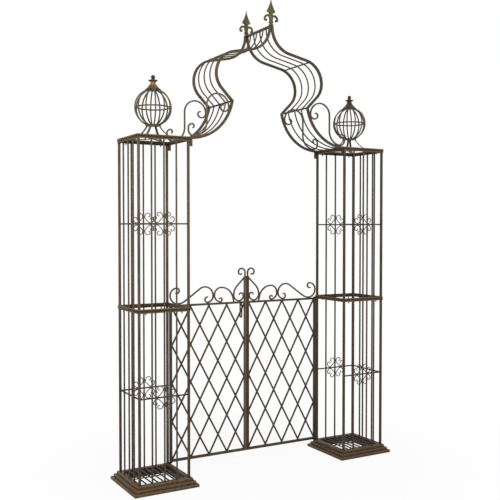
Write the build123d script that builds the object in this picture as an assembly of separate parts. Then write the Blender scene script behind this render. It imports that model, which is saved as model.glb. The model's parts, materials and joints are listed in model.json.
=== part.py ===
from build123d import *

import os
from math import acos, atan2, cos, degrees, radians, sin, sqrt, tan

# Garden trellis arch: two open cage towers, an ogee arch between them and a pair of lattice gates.
# Millimetres, +Z up, +Y to the back. The origin is on the ground, midway between the towers.

# Fits
SEAT_GAP = 0.25  # beside curved bars that are welded to their neighbour
RUNNING_GAP = 0.05  # hinge pin in its eye, on the radius
LOOP_GAP = 0.3  # latch loop on its pin, on the radius and at its sides
END_PLAY = 0.4  # gate stile between its hinge eyes

# Towers
POST_PITCH = 320.0  # corner post to corner post, both ways
PASSAGE = 1168.0  # inner post to inner post across the walkway
POST = 14.0  # square corner post
THIN_BAR = 8.5  # square trellis bar
CROSSBAR_HEIGHT = 9.0
BARS_PER_FACE = 3
BARRED_FACES = (0, 180, -90)  # back, front and outer, as turns from the back
MID_JOINT_Z = 1084.0  # where the upper cage stands on the lower one
TOP_JOINT_Z = 2114.0  # where the cap frame stands on the upper cage
LOWER_CROSSBAR_Z = 563.0
UPPER_CROSSBAR_Z = 1601.0

# Stepped plinth and its floor grille
PLINTH_STEPS = 3
STEP_HEIGHT = 18.0
STEP_TREAD = 15.0
PLINTH_MARGIN = 19.0  # top step beyond the post centres
PLINTH_INSET = 15.0  # opening edge inside the post centres
PLINTH_WALL = 3.0
PLINTH_FLANGE = 25.0  # turned-in foot under the bottom step
GRILLE_SLATS = 7
GRILLE_SLAT_WIDTH = 6.0
GRILLE_SLAT_HEIGHT = 8.0
GRILLE_BEARER = 6.0

# Angle-iron frames that join the cages
ANGLE_HEIGHT = 13.0
ANGLE_WIDTH = 22.0
ANGLE_WALL = 3.0

# Scroll ornaments on the crossbars
ORNAMENT_FACES = (0, 180)  # back and front
ORNAMENT_WIRE = 5.5
ORNAMENT_SPINE = 24.0
ORNAMENT_SHOULDER_RADIUS = 22.0
ORNAMENT_CURL_RADIUS = 13.0
ORNAMENT_CURL_TURN = 110.0
ORNAMENT_EYE_RADIUS = 8.0
ORNAMENT_EYE_TURN = 120.0

# Orbs on the towers
ORB_CROSS_WIDTH = 20.0
ORB_CROSS_THICK = 4.0
ORB_LEG_HEIGHT = 77.0
ORB_LEGS_TURN = 45.0  # the legs stand on the diagonals
ORB_FOOT_RADIUS = 125.0
ORB_LEG_TOP_RADIUS = 41.0
ORB_LEG_FLARE = 36.0
ORB_LEG_WIDTH = 14.0
ORB_LEG_THICK = 6.0
ORB_RADIUS = 111.0
ORB_NECK_RADIUS = 36.0
ORB_DISC_RADIUS = 48.5
ORB_DISC_THICK = 8.0
ORB_RIBS = 12
ORB_WIRE = 8.5
CAP_RIM = 5.0
CAP_CONE = 41.0
CAP_COVE = 8.0  # hollow of the cone below its chord
CAP_WAIST_RADIUS = 15.0
CAP_FLARE = 9.0
CAP_FLANGE_RADIUS = 29.0
CAP_FLANGE_THICK = 6.0
CAP_NECK_RADIUS = 9.0
CAP_NECK = 9.0
CAP_BALL_RADIUS = 13.0

# Arch
RAIL = 15.0  # square front and back rails
SLAT = 7.5  # square bars between the rails
SLATS = 3
BRACKET_RADIUS = 297.0
BRACKET_SWEEP = 80.0
CUSP_BAR_RADIUS = 6.0
RUN_HEADING = 45.0  # of the straight above the cusp
RUN_LENGTH = 105.0
BULGE_LOWER_RADIUS = 126.0
BULGE_UPPER_RADIUS = 147.0
OGEE_RADIUS = 162.0
OGEE_RISE = 494.6  # cusp to apex
RIDGE_WIDTH = 32.0
RIDGE_THICK = 6.0
SHOULDER_BAR_TURN = 8.0  # before the end of the bulge
LUG_WIDTH = 18.0
LUG_THICK = 6.0
LUG_DROP = 43.0

# Large scrolls in the corners between arch and tower
SCROLL_BAR = 10.0
SCROLL_TOUCH = 200.8  # angle about the bracket's centre where the upper curl meets it
SCROLL_CURL_RADIUS = 30.0
SCROLL_CURL_TURN = 195.0
SCROLL_CROWN_RADIUS = 76.0
SCROLL_HEEL_RADIUS = 90.0
SCROLL_FOOT_RADIUS = 34.0
SCROLL_FOOT_RISE = 14.0
SCROLL_FOOT_TOP_RADIUS = 24.0
SCROLL_FOOT_CURL_RADIUS = 13.0
SCROLL_FOOT_CURL_TURN = 110.0

# Spear finials on the ridge
FINIAL_BASE_RADIUS = 13.5
FINIAL_BASE_THICK = 6.0
FINIAL_STEM_RADIUS = 7.5
FINIAL_COLLAR_RADIUS = 13.0
FINIAL_COLLAR_Z = 18.0
FINIAL_COLLAR_HEIGHT = 6.0
FINIAL_COVE = 4.0
FINIAL_HEAD_Z = 80.0
FINIAL_HEIGHT = 177.0
HEAD_BARB_RISE = 10.0
HEAD_WAIST_RISE = 34.0
HEAD_FOOT = (20.0, 15.0)
HEAD_BARB = (56.0, 18.0)
HEAD_WAIST = (30.0, 15.0)
HEAD_TIP = (3.0, 3.0)
ARM_Z = 46.0
ARM_HEADING = 65.0
ARM_RADIUS = 23.0
ARM_CURL_RADIUS = 8.0
ARM_CURL_TURN = 120.0
ARM_WIDTH = 12.0
ARM_DEPTH = 11.0

# Gates
HINGE_OFFSET = 23.0  # hinge line inside the inner back post's centre
STILE = 16.0
MEETING_GAP = 4.0  # between the two leaves
TOP_RAIL = 13.0
BOTTOM_RAIL = 16.0
LATTICE_WIDTH = 10.5
DIAMONDS = 4  # across and up each leaf
MEETING_STILE_RISE = 170.0  # above the top rail
EYE_THICK = 6.0
TOP_EYE_DROP = 4.0  # underside of the upper eye below the joint of the cages
EYE_RADIUS = 10.0
PIN_RADIUS = 5.0
PIN_TOP_STUB = 1.0  # top pin above its eye
PIN_RECESS = 0.3  # bottom pin above its eye's underside

# Scrollwork on the gates' top rails, in proportion: all of it is fitted to the leaf's width
CREST_BAR = 10.0
SWAN_HEEL_RADIUS = 55.0
SWAN_BACK_RADIUS = 47.0
SWAN_EYE_RADIUS = 22.0
SWAN_EYE_TURN = 170.0
SWAN_SWEEP_RADIUS = 90.0
SWAN_SLOPE = 35.0
SWAN_CROWN_RADIUS = 61.0
SWAN_BREAST_RADIUS = 42.0
SWAN_END_RADIUS = 20.0
SWAN_END_TURN = 120.0
HOOK_HEADING = 78.0
HOOK_NECK_RADIUS = 92.0
HOOK_CROWN_RADIUS = 50.0
HOOK_BREAST_RADIUS = 45.0
HOOK_END_RADIUS = 18.0
HOOK_END_TURN = 150.0
LYRE_BELLY_RADIUS = 40.0
LYRE_SHOULDER_RADIUS = 85.0
LYRE_SHOULDER_TURN = 45.0
LYRE_CURL_RADIUS = 34.0
LYRE_BACK_RADIUS = 18.0
LYRE_END_RADIUS = 12.0
LYRE_END_TURN = 100.0
PLUME_RISE = 26.0
PLUME_RADIUS = 27.0
PLUME_CROWN_RADIUS = 24.0
PLUME_CURL_RADIUS = 16.0
PLUME_END_RADIUS = 10.0
PLUME_END_TURN = 80.0

# Latch loop on the left gate
LATCH_X = 48.0  # from the meeting line
LATCH_LUG_WIDTH = 14.0
LATCH_LUG_DROP = 16.0
LATCH_LUG_THICK = 5.0
LATCH_PIN_RADIUS = 5.0
LATCH_HEAD_RADIUS = 8.5
LATCH_HEAD_THICK = 2.5
LOOP_BAR = 5.0
LOOP_DEPTH = 5.0
LOOP_LENGTH = 100.0

# Derived tower sizes
HALF_PITCH = POST_PITCH / 2
TOWER_X = PASSAGE / 2 + HALF_PITCH
POST_FACE = HALF_PITCH + POST / 2
BAR_PLANE = POST_FACE - THIN_BAR
FRAME_HALF = POST_FACE + ANGLE_WALL
FRAME_INNER = FRAME_HALF - ANGLE_WIDTH
PLINTH_TOP = PLINTH_STEPS * STEP_HEIGHT
PLINTH_HALF = HALF_PITCH + PLINTH_MARGIN + (PLINTH_STEPS - 1) * STEP_TREAD
PLINTH_OPENING = HALF_PITCH - PLINTH_INSET

# Derived orb heights
CROSS_TOP = TOP_JOINT_Z + ANGLE_WALL + ORB_CROSS_THICK
DISC_Z = CROSS_TOP + ORB_LEG_HEIGHT
ORB_POLE = sqrt(ORB_RADIUS**2 - ORB_NECK_RADIUS**2)
ORB_Z = DISC_Z + ORB_DISC_THICK + ORB_POLE

# Derived arch sizes
ARCH_FOOT = Vector(TOWER_X - FRAME_HALF, TOP_JOINT_Z + ANGLE_HEIGHT / 2)
BRACKET_CENTRE = ARCH_FOOT + Vector(0, BRACKET_RADIUS)
BRACKET_END = 180 - BRACKET_SWEEP  # heading at the cusp
APEX_Z = ARCH_FOOT.Y + BRACKET_RADIUS * (1 - cos(radians(BRACKET_SWEEP))) + OGEE_RISE
RAIL_INNER_Y = HALF_PITCH - RAIL / 2
SLAT_SHIFT = (RAIL - SLAT) / 2  # slats are flush with the outside of the rails
RIDGE_Z = APEX_Z + RIDGE_THICK
APEX = Vector((RIDGE_WIDTH - RAIL) / 2, APEX_Z)

# Derived gate sizes
HINGE_X = PASSAGE / 2 - HINGE_OFFSET
GATE_Y = HALF_PITCH
GATE_FRONT = GATE_Y - STILE / 2
LATTICE_DEPTH = STILE / 2  # two layers fill the depth of the stiles
GATE_BOTTOM = PLINTH_TOP + EYE_THICK + END_PLAY
TOP_EYE_Z = MID_JOINT_Z - TOP_EYE_DROP
GATE_TOP = TOP_EYE_Z - END_PLAY
LEAF_INNER = MEETING_GAP / 2 + STILE
LEAF_OUTER = HINGE_X - STILE / 2
LATTICE_BOTTOM = GATE_BOTTOM + BOTTOM_RAIL
LATTICE_TOP = GATE_TOP - TOP_RAIL
STILE_TOP = GATE_TOP + MEETING_STILE_RISE
LATCH_PIN_Z = LATTICE_TOP - LATCH_LUG_DROP / 2

# Derived fit of the scrollwork: three scrolls side by side fill the leaf
CREST_SEAT = SEAT_GAP + CREST_BAR / 2
CREST_LINE = GATE_TOP + CREST_SEAT  # centre line of a bend resting on the rail
SLOPE = radians(SWAN_SLOPE)
LEAN = radians(HOOK_HEADING)
SWAN_ARCS = SWAN_SWEEP_RADIUS + SWAN_CROWN_RADIUS
SWAN_RISE = SWAN_CROWN_RADIUS + SWAN_BREAST_RADIUS - SWAN_ARCS * (1 - cos(SLOPE))
SWAN_RUN = SWAN_ARCS * sin(SLOPE) + SWAN_RISE / tan(SLOPE)
HOOK_RISE = HOOK_CROWN_RADIUS + HOOK_BREAST_RADIUS - HOOK_NECK_RADIUS * (1 - cos(LEAN))
HOOK_RUN = HOOK_NECK_RADIUS * sin(LEAN) + HOOK_RISE / tan(LEAN)
CREST_SPAN = SWAN_HEEL_RADIUS + SWAN_RUN + SWAN_CROWN_RADIUS
CREST_SPAN += HOOK_CROWN_RADIUS + HOOK_RUN + LYRE_BELLY_RADIUS + LYRE_CURL_RADIUS
CREST_ROOM = LEAF_OUTER + STILE - LEAF_INNER - 2 * (CREST_BAR + SEAT_GAP) - CREST_SEAT / tan(LEAN)
CREST_FIT = CREST_ROOM / CREST_SPAN


def block(x, y, z):
    """Box between pairs of limits on each axis."""
    size = [limits[1] - limits[0] for limits in (x, y, z)]
    centre = [(limits[0] + limits[1]) / 2 for limits in (x, y, z)]
    return Pos(*centre) * Box(*size)


def square_ring(outer, inner, low, high):
    """Square frame between two half widths and two heights."""
    hole = block((-inner, inner), (-inner, inner), (low, high))
    return block((-outer, outer), (-outer, outer), (low, high)) - hole


def unit(angle):
    return Vector(cos(radians(angle)), sin(radians(angle)))


def straight(length):
    return ("straight", length, 0.0)


def bend(radius, turn):
    """Round bend, to the left where the turn is positive."""
    return ("bend", radius, turn)


def crest_bend(radius, turn):
    """Bend of the gates' scrollwork, fitted to the leaf's width."""
    return bend(radius * CREST_FIT, turn)


def walk(start, heading, moves):
    """Points and headings along a bar's centre line: its start and the end of each move."""
    stations = [(start, heading)]
    for kind, size, turn in moves:
        point, angle = stations[-1]
        if kind == "straight":
            point = point + unit(angle) * size
        else:
            side = 90 if turn > 0 else -90
            point = point + (unit(angle + side) - unit(angle + turn + side)) * size
        stations.append((point, angle + turn))
    return stations


def bar_face(start, heading, moves, width, shift=0.0):
    """Flat outline of a bar bent along tangent straights and arcs, and shifted to their left."""
    stations = walk(start, heading, moves)
    sides = (shift + width / 2, shift - width / 2)
    edges = []
    for offset in sides:
        for (point, angle), (end, end_angle), (kind, size, turn) in zip(stations, stations[1:], moves):
            first = point + unit(angle + 90) * offset
            last = end + unit(end_angle + 90) * offset
            if kind == "straight":
                edges.append(Line(first, last))
            else:
                side = 90 if turn > 0 else -90
                centre = point + unit(angle + side) * size
                radius = size - offset if turn > 0 else size + offset
                middle = centre - unit(angle + turn / 2 + side) * radius
                edges.append(ThreePointArc(first, middle, last))
    for point, angle in (stations[0], stations[-1]):
        edges.append(Line(*[point + unit(angle + 90) * offset for offset in sides]))
    return make_face(edges)


def from_middle(anchor, heading, backward, forward):
    """Start, heading and moves of a bar that is laid out both ways from one point."""
    start, angle = walk(anchor, heading + 180, backward)[-1]
    returned = [(kind, size, -turn) for kind, size, turn in reversed(backward)]
    return start, angle + 180, returned + forward


def window(x, z):
    """Rectangle between limits, to cut a bar's face level or plumb."""
    middle = Pos((x[0] + x[1]) / 2, (z[0] + z[1]) / 2)
    return middle * Rectangle(x[1] - x[0], z[1] - z[0])


def upright(face, depth, y=0.0):
    """Solid from a face drawn in X and Z, centred on the plane at y."""
    return Pos(0, y, 0) * extrude(Plane.XZ * face, depth / 2, both=True)


def mirrored(pieces):
    return [mirror(piece, about=Plane.YZ) for piece in pieces]


def both_sides(pieces):
    return pieces + mirrored(pieces)


def plinth():
    """Stepped sheet plinth with a turned-in foot, an inner wall and an open middle."""
    liner = PLINTH_OPENING + PLINTH_WALL
    steps = []
    hollows = []
    for step in range(PLINTH_STEPS):
        half = PLINTH_HALF - step * STEP_TREAD
        low = step * STEP_HEIGHT
        high = low + STEP_HEIGHT
        steps.append(square_ring(half, PLINTH_OPENING, low, high))
        hollows.append(square_ring(half - PLINTH_WALL, liner, PLINTH_WALL, high - PLINTH_WALL))
    slot = square_ring(PLINTH_HALF - PLINTH_FLANGE, liner, 0, PLINTH_WALL)
    return Part() + steps - hollows - slot


def floor_grille():
    """Slats level with the plinth's top, on one bearer."""
    pitch = 2 * PLINTH_OPENING / (GRILLE_SLATS + 1)
    low = PLINTH_TOP - GRILLE_SLAT_HEIGHT
    half = GRILLE_SLAT_WIDTH / 2
    span = (-PLINTH_OPENING, PLINTH_OPENING)
    pieces = [block(span, (-GRILLE_BEARER / 2, GRILLE_BEARER / 2), (low - GRILLE_BEARER, low))]
    for index in range(GRILLE_SLATS):
        x = -PLINTH_OPENING + pitch * (index + 1)
        pieces.append(block((x - half, x + half), span, (low, PLINTH_TOP)))
    return pieces


def posts(low, high):
    half = POST / 2
    corners = [(x, y) for x in (-HALF_PITCH, HALF_PITCH) for y in (-HALF_PITCH, HALF_PITCH)]
    return [block((x - half, x + half), (y - half, y + half), (low, high)) for x, y in corners]


def on_faces(pieces, turns):
    """Pieces of the back face, repeated on other faces of a tower. The inner face stays open."""
    return [Rot(0, 0, angle) * piece for angle in turns for piece in pieces]


def face_bars(low, high):
    """Trellis bars, flush with the outside of the posts."""
    pitch = POST_PITCH / (BARS_PER_FACE + 1)
    half = THIN_BAR / 2
    bars = []
    for index in range(BARS_PER_FACE):
        x = -HALF_PITCH + pitch * (index + 1)
        bars.append(block((x - half, x + half), (BAR_PLANE, POST_FACE), (low, high)))
    return on_faces(bars, BARRED_FACES)


def crossbar(z):
    """Flat crossbar between two posts, from the trellis bars to the inside of the posts."""
    half = CROSSBAR_HEIGHT / 2
    reach = HALF_PITCH - POST / 2
    return block((-reach, reach), (reach, BAR_PLANE), (z - half, z + half))


def ornament(z):
    """Four C scrolls round the crossing of crossbar and middle bar on the back face."""
    arm = [
        straight(ORNAMENT_SPINE / 2),
        bend(ORNAMENT_SHOULDER_RADIUS, -135),
        bend(ORNAMENT_CURL_RADIUS, -ORNAMENT_CURL_TURN),
        bend(ORNAMENT_EYE_RADIUS, -ORNAMENT_EYE_TURN),
    ]
    other_arm = [(kind, size, -turn) for kind, size, turn in arm]
    closest = max(THIN_BAR, CROSSBAR_HEIGHT) / 2 + SEAT_GAP + ORNAMENT_WIRE / 2
    diagonal = sin(radians(45))
    inset = diagonal * (ORNAMENT_SPINE / 2 - ORNAMENT_SHOULDER_RADIUS) + ORNAMENT_SHOULDER_RADIUS
    spine = Vector(closest + inset, closest + inset)
    scroll = bar_face(*from_middle(spine, 135, other_arm, arm), ORNAMENT_WIRE)
    placed = [Pos(0, z) * (Rot(0, 0, angle) * scroll) for angle in (0, 90, 180, 270)]
    return [upright(face, ORNAMENT_WIRE, BAR_PLANE) for face in placed]


def angle_frame(low, leg_low):
    """Angle-iron frame: a standing leg outside the posts and a lying leg towards the cage."""
    standing = square_ring(FRAME_HALF, POST_FACE, low, low + ANGLE_HEIGHT)
    return standing + square_ring(FRAME_HALF, FRAME_INNER, leg_low, leg_low + ANGLE_WALL)


def orb_cross():
    """Flat cross, corner to corner in the cap frame, that carries the orb's feet."""
    half = ORB_CROSS_WIDTH / 2
    reach = POST_FACE * sqrt(2) - half
    level = (CROSS_TOP - ORB_CROSS_THICK, CROSS_TOP)
    cross = block((-reach, reach), (-half, half), level) + block((-half, half), (-reach, reach), level)
    return Rot(0, 0, ORB_LEGS_TURN) * cross


def orb_leg():
    """Flared flat leg from the cross to the disc, cut level at both ends."""
    foot = Vector(ORB_FOOT_RADIUS, CROSS_TOP)
    top = Vector(ORB_LEG_TOP_RADIUS, DISC_Z)
    chord = top - foot
    heading = degrees(atan2(chord.Y, chord.X)) + ORB_LEG_FLARE / 2
    radius = chord.length / (2 * sin(radians(ORB_LEG_FLARE / 2)))
    spare = 2 * ORB_LEG_THICK
    moves = [straight(spare), bend(radius, -ORB_LEG_FLARE), straight(spare)]
    face = bar_face(foot - unit(heading) * spare, heading, moves, ORB_LEG_THICK)
    return upright(face & window((0, 2 * ORB_FOOT_RADIUS), (CROSS_TOP, DISC_Z)), ORB_LEG_WIDTH)


def orb_rib():
    """Meridian rib, cut level on the disc and under the cap."""
    reach = degrees(acos(ORB_NECK_RADIUS / ORB_RADIUS)) + degrees(ORB_WIRE / ORB_RADIUS)
    start = Vector(0, ORB_Z) + unit(-reach) * ORB_RADIUS
    face = bar_face(start, 90 - reach, [bend(ORB_RADIUS, 2 * reach)], ORB_WIRE)
    level = (ORB_Z - ORB_POLE, ORB_Z + ORB_POLE)
    return upright(face & window((0, 2 * ORB_RADIUS), level), ORB_WIRE)


def around(piece, count, first=0.0):
    return [Rot(0, 0, first + 360 * index / count) * piece for index in range(count)]


def orb_disc():
    return Pos(0, 0, DISC_Z + ORB_DISC_THICK / 2) * Cylinder(ORB_DISC_RADIUS, ORB_DISC_THICK)


def orb_hoop():
    """Equator hoop inside the ribs."""
    outer = ORB_RADIUS - ORB_WIRE / 2 - SEAT_GAP
    return Pos(0, 0, ORB_Z) * (Cylinder(outer, ORB_WIRE) - Cylinder(outer - ORB_WIRE, ORB_WIRE))


def orb_cap():
    """Turned cap: coved cone, waist, flange and ball."""
    waist_z = CAP_RIM + CAP_CONE
    flange_z = waist_z + CAP_FLARE
    neck_z = flange_z + CAP_FLANGE_THICK
    ball_z = neck_z + CAP_NECK + sqrt(CAP_BALL_RADIUS**2 - CAP_NECK_RADIUS**2)
    rim = Vector(ORB_DISC_RADIUS, CAP_RIM)
    waist = Vector(CAP_WAIST_RADIUS, waist_z)
    chord = waist - rim
    hollow = (rim + waist) / 2 + Vector(-chord.Y, chord.X).normalized() * CAP_COVE
    flange = Vector(CAP_FLANGE_RADIUS, flange_z)
    collar = Vector(CAP_NECK_RADIUS, neck_z + CAP_NECK)
    crown = Vector(0, ball_z + CAP_BALL_RADIUS)
    cheek = Vector(CAP_BALL_RADIUS, ball_z)
    profile = [
        Polyline((0, 0), (ORB_DISC_RADIUS, 0), rim),
        ThreePointArc(rim, hollow, waist),
        Polyline(waist, flange, (CAP_FLANGE_RADIUS, neck_z), (CAP_NECK_RADIUS, neck_z), collar),
        ThreePointArc(collar, cheek, crown),
        Line(crown, (0, 0)),
    ]
    return Pos(0, 0, ORB_Z + ORB_POLE) * revolve(Plane.XZ * make_face(profile), Axis.Z)


def tower():
    """Named groups of the right tower, about its own axis."""
    lower = (PLINTH_TOP, MID_JOINT_Z - ANGLE_WALL)
    upper = (MID_JOINT_Z + ANGLE_WALL, TOP_JOINT_Z - ANGLE_WALL)
    rails = [crossbar(LOWER_CROSSBAR_Z), crossbar(UPPER_CROSSBAR_Z)]
    scrolls = ornament(LOWER_CROSSBAR_Z) + ornament(UPPER_CROSSBAR_Z)
    return {
        "plinth": [plinth()],
        "floor_grille": floor_grille(),
        "lower_posts": posts(*lower),
        "lower_bars": face_bars(*lower),
        "lower_frame": [angle_frame(MID_JOINT_Z - ANGLE_HEIGHT, MID_JOINT_Z - ANGLE_WALL)],
        "upper_sill": [angle_frame(MID_JOINT_Z, MID_JOINT_Z)],
        "upper_posts": posts(*upper),
        "upper_bars": face_bars(*upper),
        "upper_frame": [angle_frame(TOP_JOINT_Z - ANGLE_HEIGHT, TOP_JOINT_Z - ANGLE_WALL)],
        "crossbars": on_faces(rails, BARRED_FACES),
        "ornaments": on_faces(scrolls, ORNAMENT_FACES),
        "cap_frame": [angle_frame(TOP_JOINT_Z, TOP_JOINT_Z)],
        "orb_cross": [orb_cross()],
        "orb_legs": around(orb_leg(), 4, ORB_LEGS_TURN),
        "orb_disc": [orb_disc()],
        "orb_ribs": around(orb_rib(), ORB_RIBS, 180 / ORB_RIBS),
        "orb_hoop": [orb_hoop()],
        "orb_cap": [orb_cap()],
    }


def ogee_moves():
    """Moves from the cusp to the apex: run, bulge, shoulder and neck, all tangent."""
    cusp = walk(ARCH_FOOT, 180, [bend(BRACKET_RADIUS, -BRACKET_SWEEP)])[-1][0]
    lower = [straight(RUN_LENGTH), bend(BULGE_LOWER_RADIUS, 90 - RUN_HEADING)]
    widest = walk(cusp, RUN_HEADING, lower)[-1][0]
    bulge_centre = widest - Vector(BULGE_UPPER_RADIUS, 0)
    neck_centre = APEX + Vector(OGEE_RADIUS, 0)
    apart = neck_centre - bulge_centre
    radii = BULGE_UPPER_RADIUS + OGEE_RADIUS
    turn = degrees(atan2(apart.Y, apart.X)) - degrees(acos(radii / apart.length))
    shoulder = sqrt(apart.length**2 - radii**2)
    upper = [bend(BULGE_UPPER_RADIUS, turn), straight(shoulder), bend(OGEE_RADIUS, -turn)]
    return cusp, lower + upper


def mitre(face, point, direction):
    """Cuts a rail's face at a point, on the side the direction points to."""
    reach = 4 * RAIL
    cutter = Pos(point.X, point.Y) * (Rot(0, 0, direction) * (Pos(reach / 2, 0) * Rectangle(reach, reach)))
    return face - cutter


def front_and_back(face, depth):
    return [upright(face, depth, -HALF_PITCH), upright(face, depth, HALF_PITCH)]


def arch_half():
    """Named groups of the right half of the arch."""
    cusp, moves = ogee_moves()
    bisector = (BRACKET_END + RUN_HEADING) / 2
    foot_moves = [bend(BRACKET_RADIUS, -BRACKET_SWEEP), straight(RAIL)]
    bracket = mitre(bar_face(ARCH_FOOT, 180, foot_moves, RAIL), cusp, bisector)
    below = cusp - unit(RUN_HEADING) * RAIL
    ogee = bar_face(below, RUN_HEADING, [straight(RAIL)] + moves, RAIL)
    ogee = mitre(ogee, cusp, bisector + 180)

    stop = CUSP_BAR_RADIUS + SEAT_GAP
    low_sweep = BRACKET_SWEEP - degrees(stop / BRACKET_RADIUS)
    low_slat = bar_face(ARCH_FOOT, 180, [bend(BRACKET_RADIUS, -low_sweep)], SLAT, -SLAT_SHIFT)
    high_moves = [straight(RUN_LENGTH - stop)] + moves[1:]
    high_slat = bar_face(cusp + unit(RUN_HEADING) * stop, RUN_HEADING, high_moves, SLAT, -SLAT_SHIFT)
    pitch = POST_PITCH / (SLATS + 1)
    slats = []
    for index in range(SLATS):
        y = -HALF_PITCH + pitch * (index + 1)
        slats += [upright(low_slat, SLAT, y), upright(high_slat, SLAT, y)]

    radius, turn = moves[2][1:]
    shoulder, heading = walk(cusp, RUN_HEADING, moves[:2] + [bend(radius, turn - SHOULDER_BAR_TURN)])[-1]
    seat = shoulder + unit(heading + 90) * (SLAT - SLAT_SHIFT + SEAT_GAP)
    shoulder_bar = Pos(seat.X, seat.Y) * (Rot(0, 0, heading) * Rectangle(SLAT, SLAT))
    cusp_bar = Pos(cusp.X, cusp.Y) * Circle(CUSP_BAR_RADIUS)
    lug_top = ARCH_FOOT.Y - RAIL / 2 - SEAT_GAP
    lug = window((ARCH_FOOT.X - LUG_WIDTH, ARCH_FOOT.X), (lug_top - LUG_DROP, lug_top))
    return {
        "arch_brackets": front_and_back(bracket, RAIL),
        "arch_ogee_rails": front_and_back(ogee, RAIL),
        "arch_slats": slats,
        "arch_cross_bars": [upright(bar, 2 * RAIL_INNER_Y) for bar in (shoulder_bar, cusp_bar)],
        "arch_lugs": front_and_back(lug, LUG_THICK),
        "arch_scrolls": front_and_back(corner_scroll(), SCROLL_BAR),
    }


def corner_scroll():
    """Scroll in the corner over the bracket: it touches the bracket at its upper curl and its heel."""
    reach = BRACKET_RADIUS - RAIL / 2 - SEAT_GAP - SCROLL_BAR / 2
    curl_centre = BRACKET_CENTRE + unit(SCROLL_TOUCH) * (reach - SCROLL_CURL_RADIUS)
    anchor = curl_centre - Vector(SCROLL_CURL_RADIUS, 0)
    heel_x = anchor.X + 2 * SCROLL_CROWN_RADIUS + SCROLL_HEEL_RADIUS
    drop = sqrt((reach - SCROLL_HEEL_RADIUS) ** 2 - (heel_x - BRACKET_CENTRE.X) ** 2)
    spine = anchor.Y - (BRACKET_CENTRE.Y - drop)
    forward = [
        bend(SCROLL_CROWN_RADIUS, -180),
        straight(spine),
        bend(SCROLL_HEEL_RADIUS, 90),
        bend(SCROLL_FOOT_RADIUS, 90),
        straight(SCROLL_FOOT_RISE),
        bend(SCROLL_FOOT_TOP_RADIUS, 90),
        bend(SCROLL_FOOT_CURL_RADIUS, SCROLL_FOOT_CURL_TURN),
    ]
    backward = [bend(SCROLL_CURL_RADIUS, SCROLL_CURL_TURN)]
    return bar_face(*from_middle(anchor, 90, backward, forward), SCROLL_BAR)


def finial():
    """Cast spear: turned stem with a collar, faceted head and two curled arms."""
    collar_top = FINIAL_COLLAR_Z + FINIAL_COLLAR_HEIGHT
    stem_top = FINIAL_HEAD_Z + HEAD_BARB_RISE
    outline = [
        (0, 0),
        (FINIAL_BASE_RADIUS, 0),
        (FINIAL_BASE_RADIUS, FINIAL_BASE_THICK),
        (FINIAL_STEM_RADIUS, FINIAL_BASE_THICK + FINIAL_COVE),
        (FINIAL_STEM_RADIUS, FINIAL_COLLAR_Z - FINIAL_COVE),
        (FINIAL_COLLAR_RADIUS, FINIAL_COLLAR_Z),
        (FINIAL_COLLAR_RADIUS, collar_top),
        (FINIAL_STEM_RADIUS, collar_top + FINIAL_COVE),
        (FINIAL_STEM_RADIUS, stem_top),
        (0, stem_top),
    ]
    stem = revolve(Plane.XZ * make_face(Polyline(*outline, close=True)), Axis.Z)
    levels = [
        (FINIAL_HEAD_Z, HEAD_FOOT),
        (FINIAL_HEAD_Z + HEAD_BARB_RISE, HEAD_BARB),
        (FINIAL_HEAD_Z + HEAD_WAIST_RISE, HEAD_WAIST),
        (FINIAL_HEIGHT, HEAD_TIP),
    ]
    sections = []
    for z, (width, depth) in levels:
        corners = [(width / 2, 0), (0, depth / 2), (-width / 2, 0), (0, -depth / 2)]
        sections.append(Pos(0, 0, z) * make_face(Polyline(*corners, close=True)))
    head = loft(sections, ruled=True)
    moves = [bend(ARM_RADIUS, -ARM_HEADING - 90), bend(ARM_CURL_RADIUS, -ARM_CURL_TURN)]
    root = Vector(FINIAL_STEM_RADIUS - ARM_WIDTH / 2, ARM_Z)
    arm = upright(bar_face(root, ARM_HEADING, moves, ARM_WIDTH), ARM_DEPTH)
    return Pos(0, 0, RIDGE_Z) * (stem + head + both_sides([arm]))


def ridge():
    half = RIDGE_WIDTH / 2
    end = HALF_PITCH + RAIL / 2
    return block((-half, half), (-end, end), (APEX_Z, RIDGE_Z))


def lattice():
    """Two layers of crossing diagonal bars, cut to the leaf's frame."""
    width = LEAF_OUTER - LEAF_INNER
    height = LATTICE_TOP - LATTICE_BOTTOM
    frame = window((LEAF_INNER, LEAF_OUTER), (LATTICE_BOTTOM, LATTICE_TOP))
    middle = ((LEAF_INNER + LEAF_OUTER) / 2, (LATTICE_BOTTOM + LATTICE_TOP) / 2)
    slope = degrees(atan2(height, width))
    bars = []
    for layer in (-1, 1):
        for index in range(1 - DIAMONDS, DIAMONDS):
            shift = Pos(middle[0] + index * width / DIAMONDS, middle[1])
            bar = shift * (Rot(0, 0, layer * slope) * Rectangle(4 * height, LATTICE_WIDTH))
            bars.append(upright(bar & frame, LATTICE_DEPTH, GATE_Y + layer * LATTICE_DEPTH / 2))
    return bars


def swan_scroll():
    """Long S scroll from over the hinge. Its heel and its breast both rest on the rail."""
    heel = Vector(HINGE_X + (STILE - CREST_BAR) / 2 - SWAN_HEEL_RADIUS * CREST_FIT, CREST_LINE)
    forward = [
        crest_bend(SWAN_SWEEP_RADIUS, -SWAN_SLOPE),
        straight(SWAN_RISE * CREST_FIT / sin(SLOPE)),
        crest_bend(SWAN_CROWN_RADIUS, SWAN_SLOPE + 90),
        crest_bend(SWAN_BREAST_RADIUS, 90),
        crest_bend(SWAN_END_RADIUS, SWAN_END_TURN),
    ]
    backward = [
        crest_bend(SWAN_HEEL_RADIUS, 90),
        crest_bend(SWAN_BACK_RADIUS, 90),
        crest_bend(SWAN_EYE_RADIUS, SWAN_EYE_TURN),
    ]
    inner_side = walk(heel, 180, forward[:3])[-1][0].X
    return bar_face(*from_middle(heel, 180, backward, forward), CREST_BAR), inner_side


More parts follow.
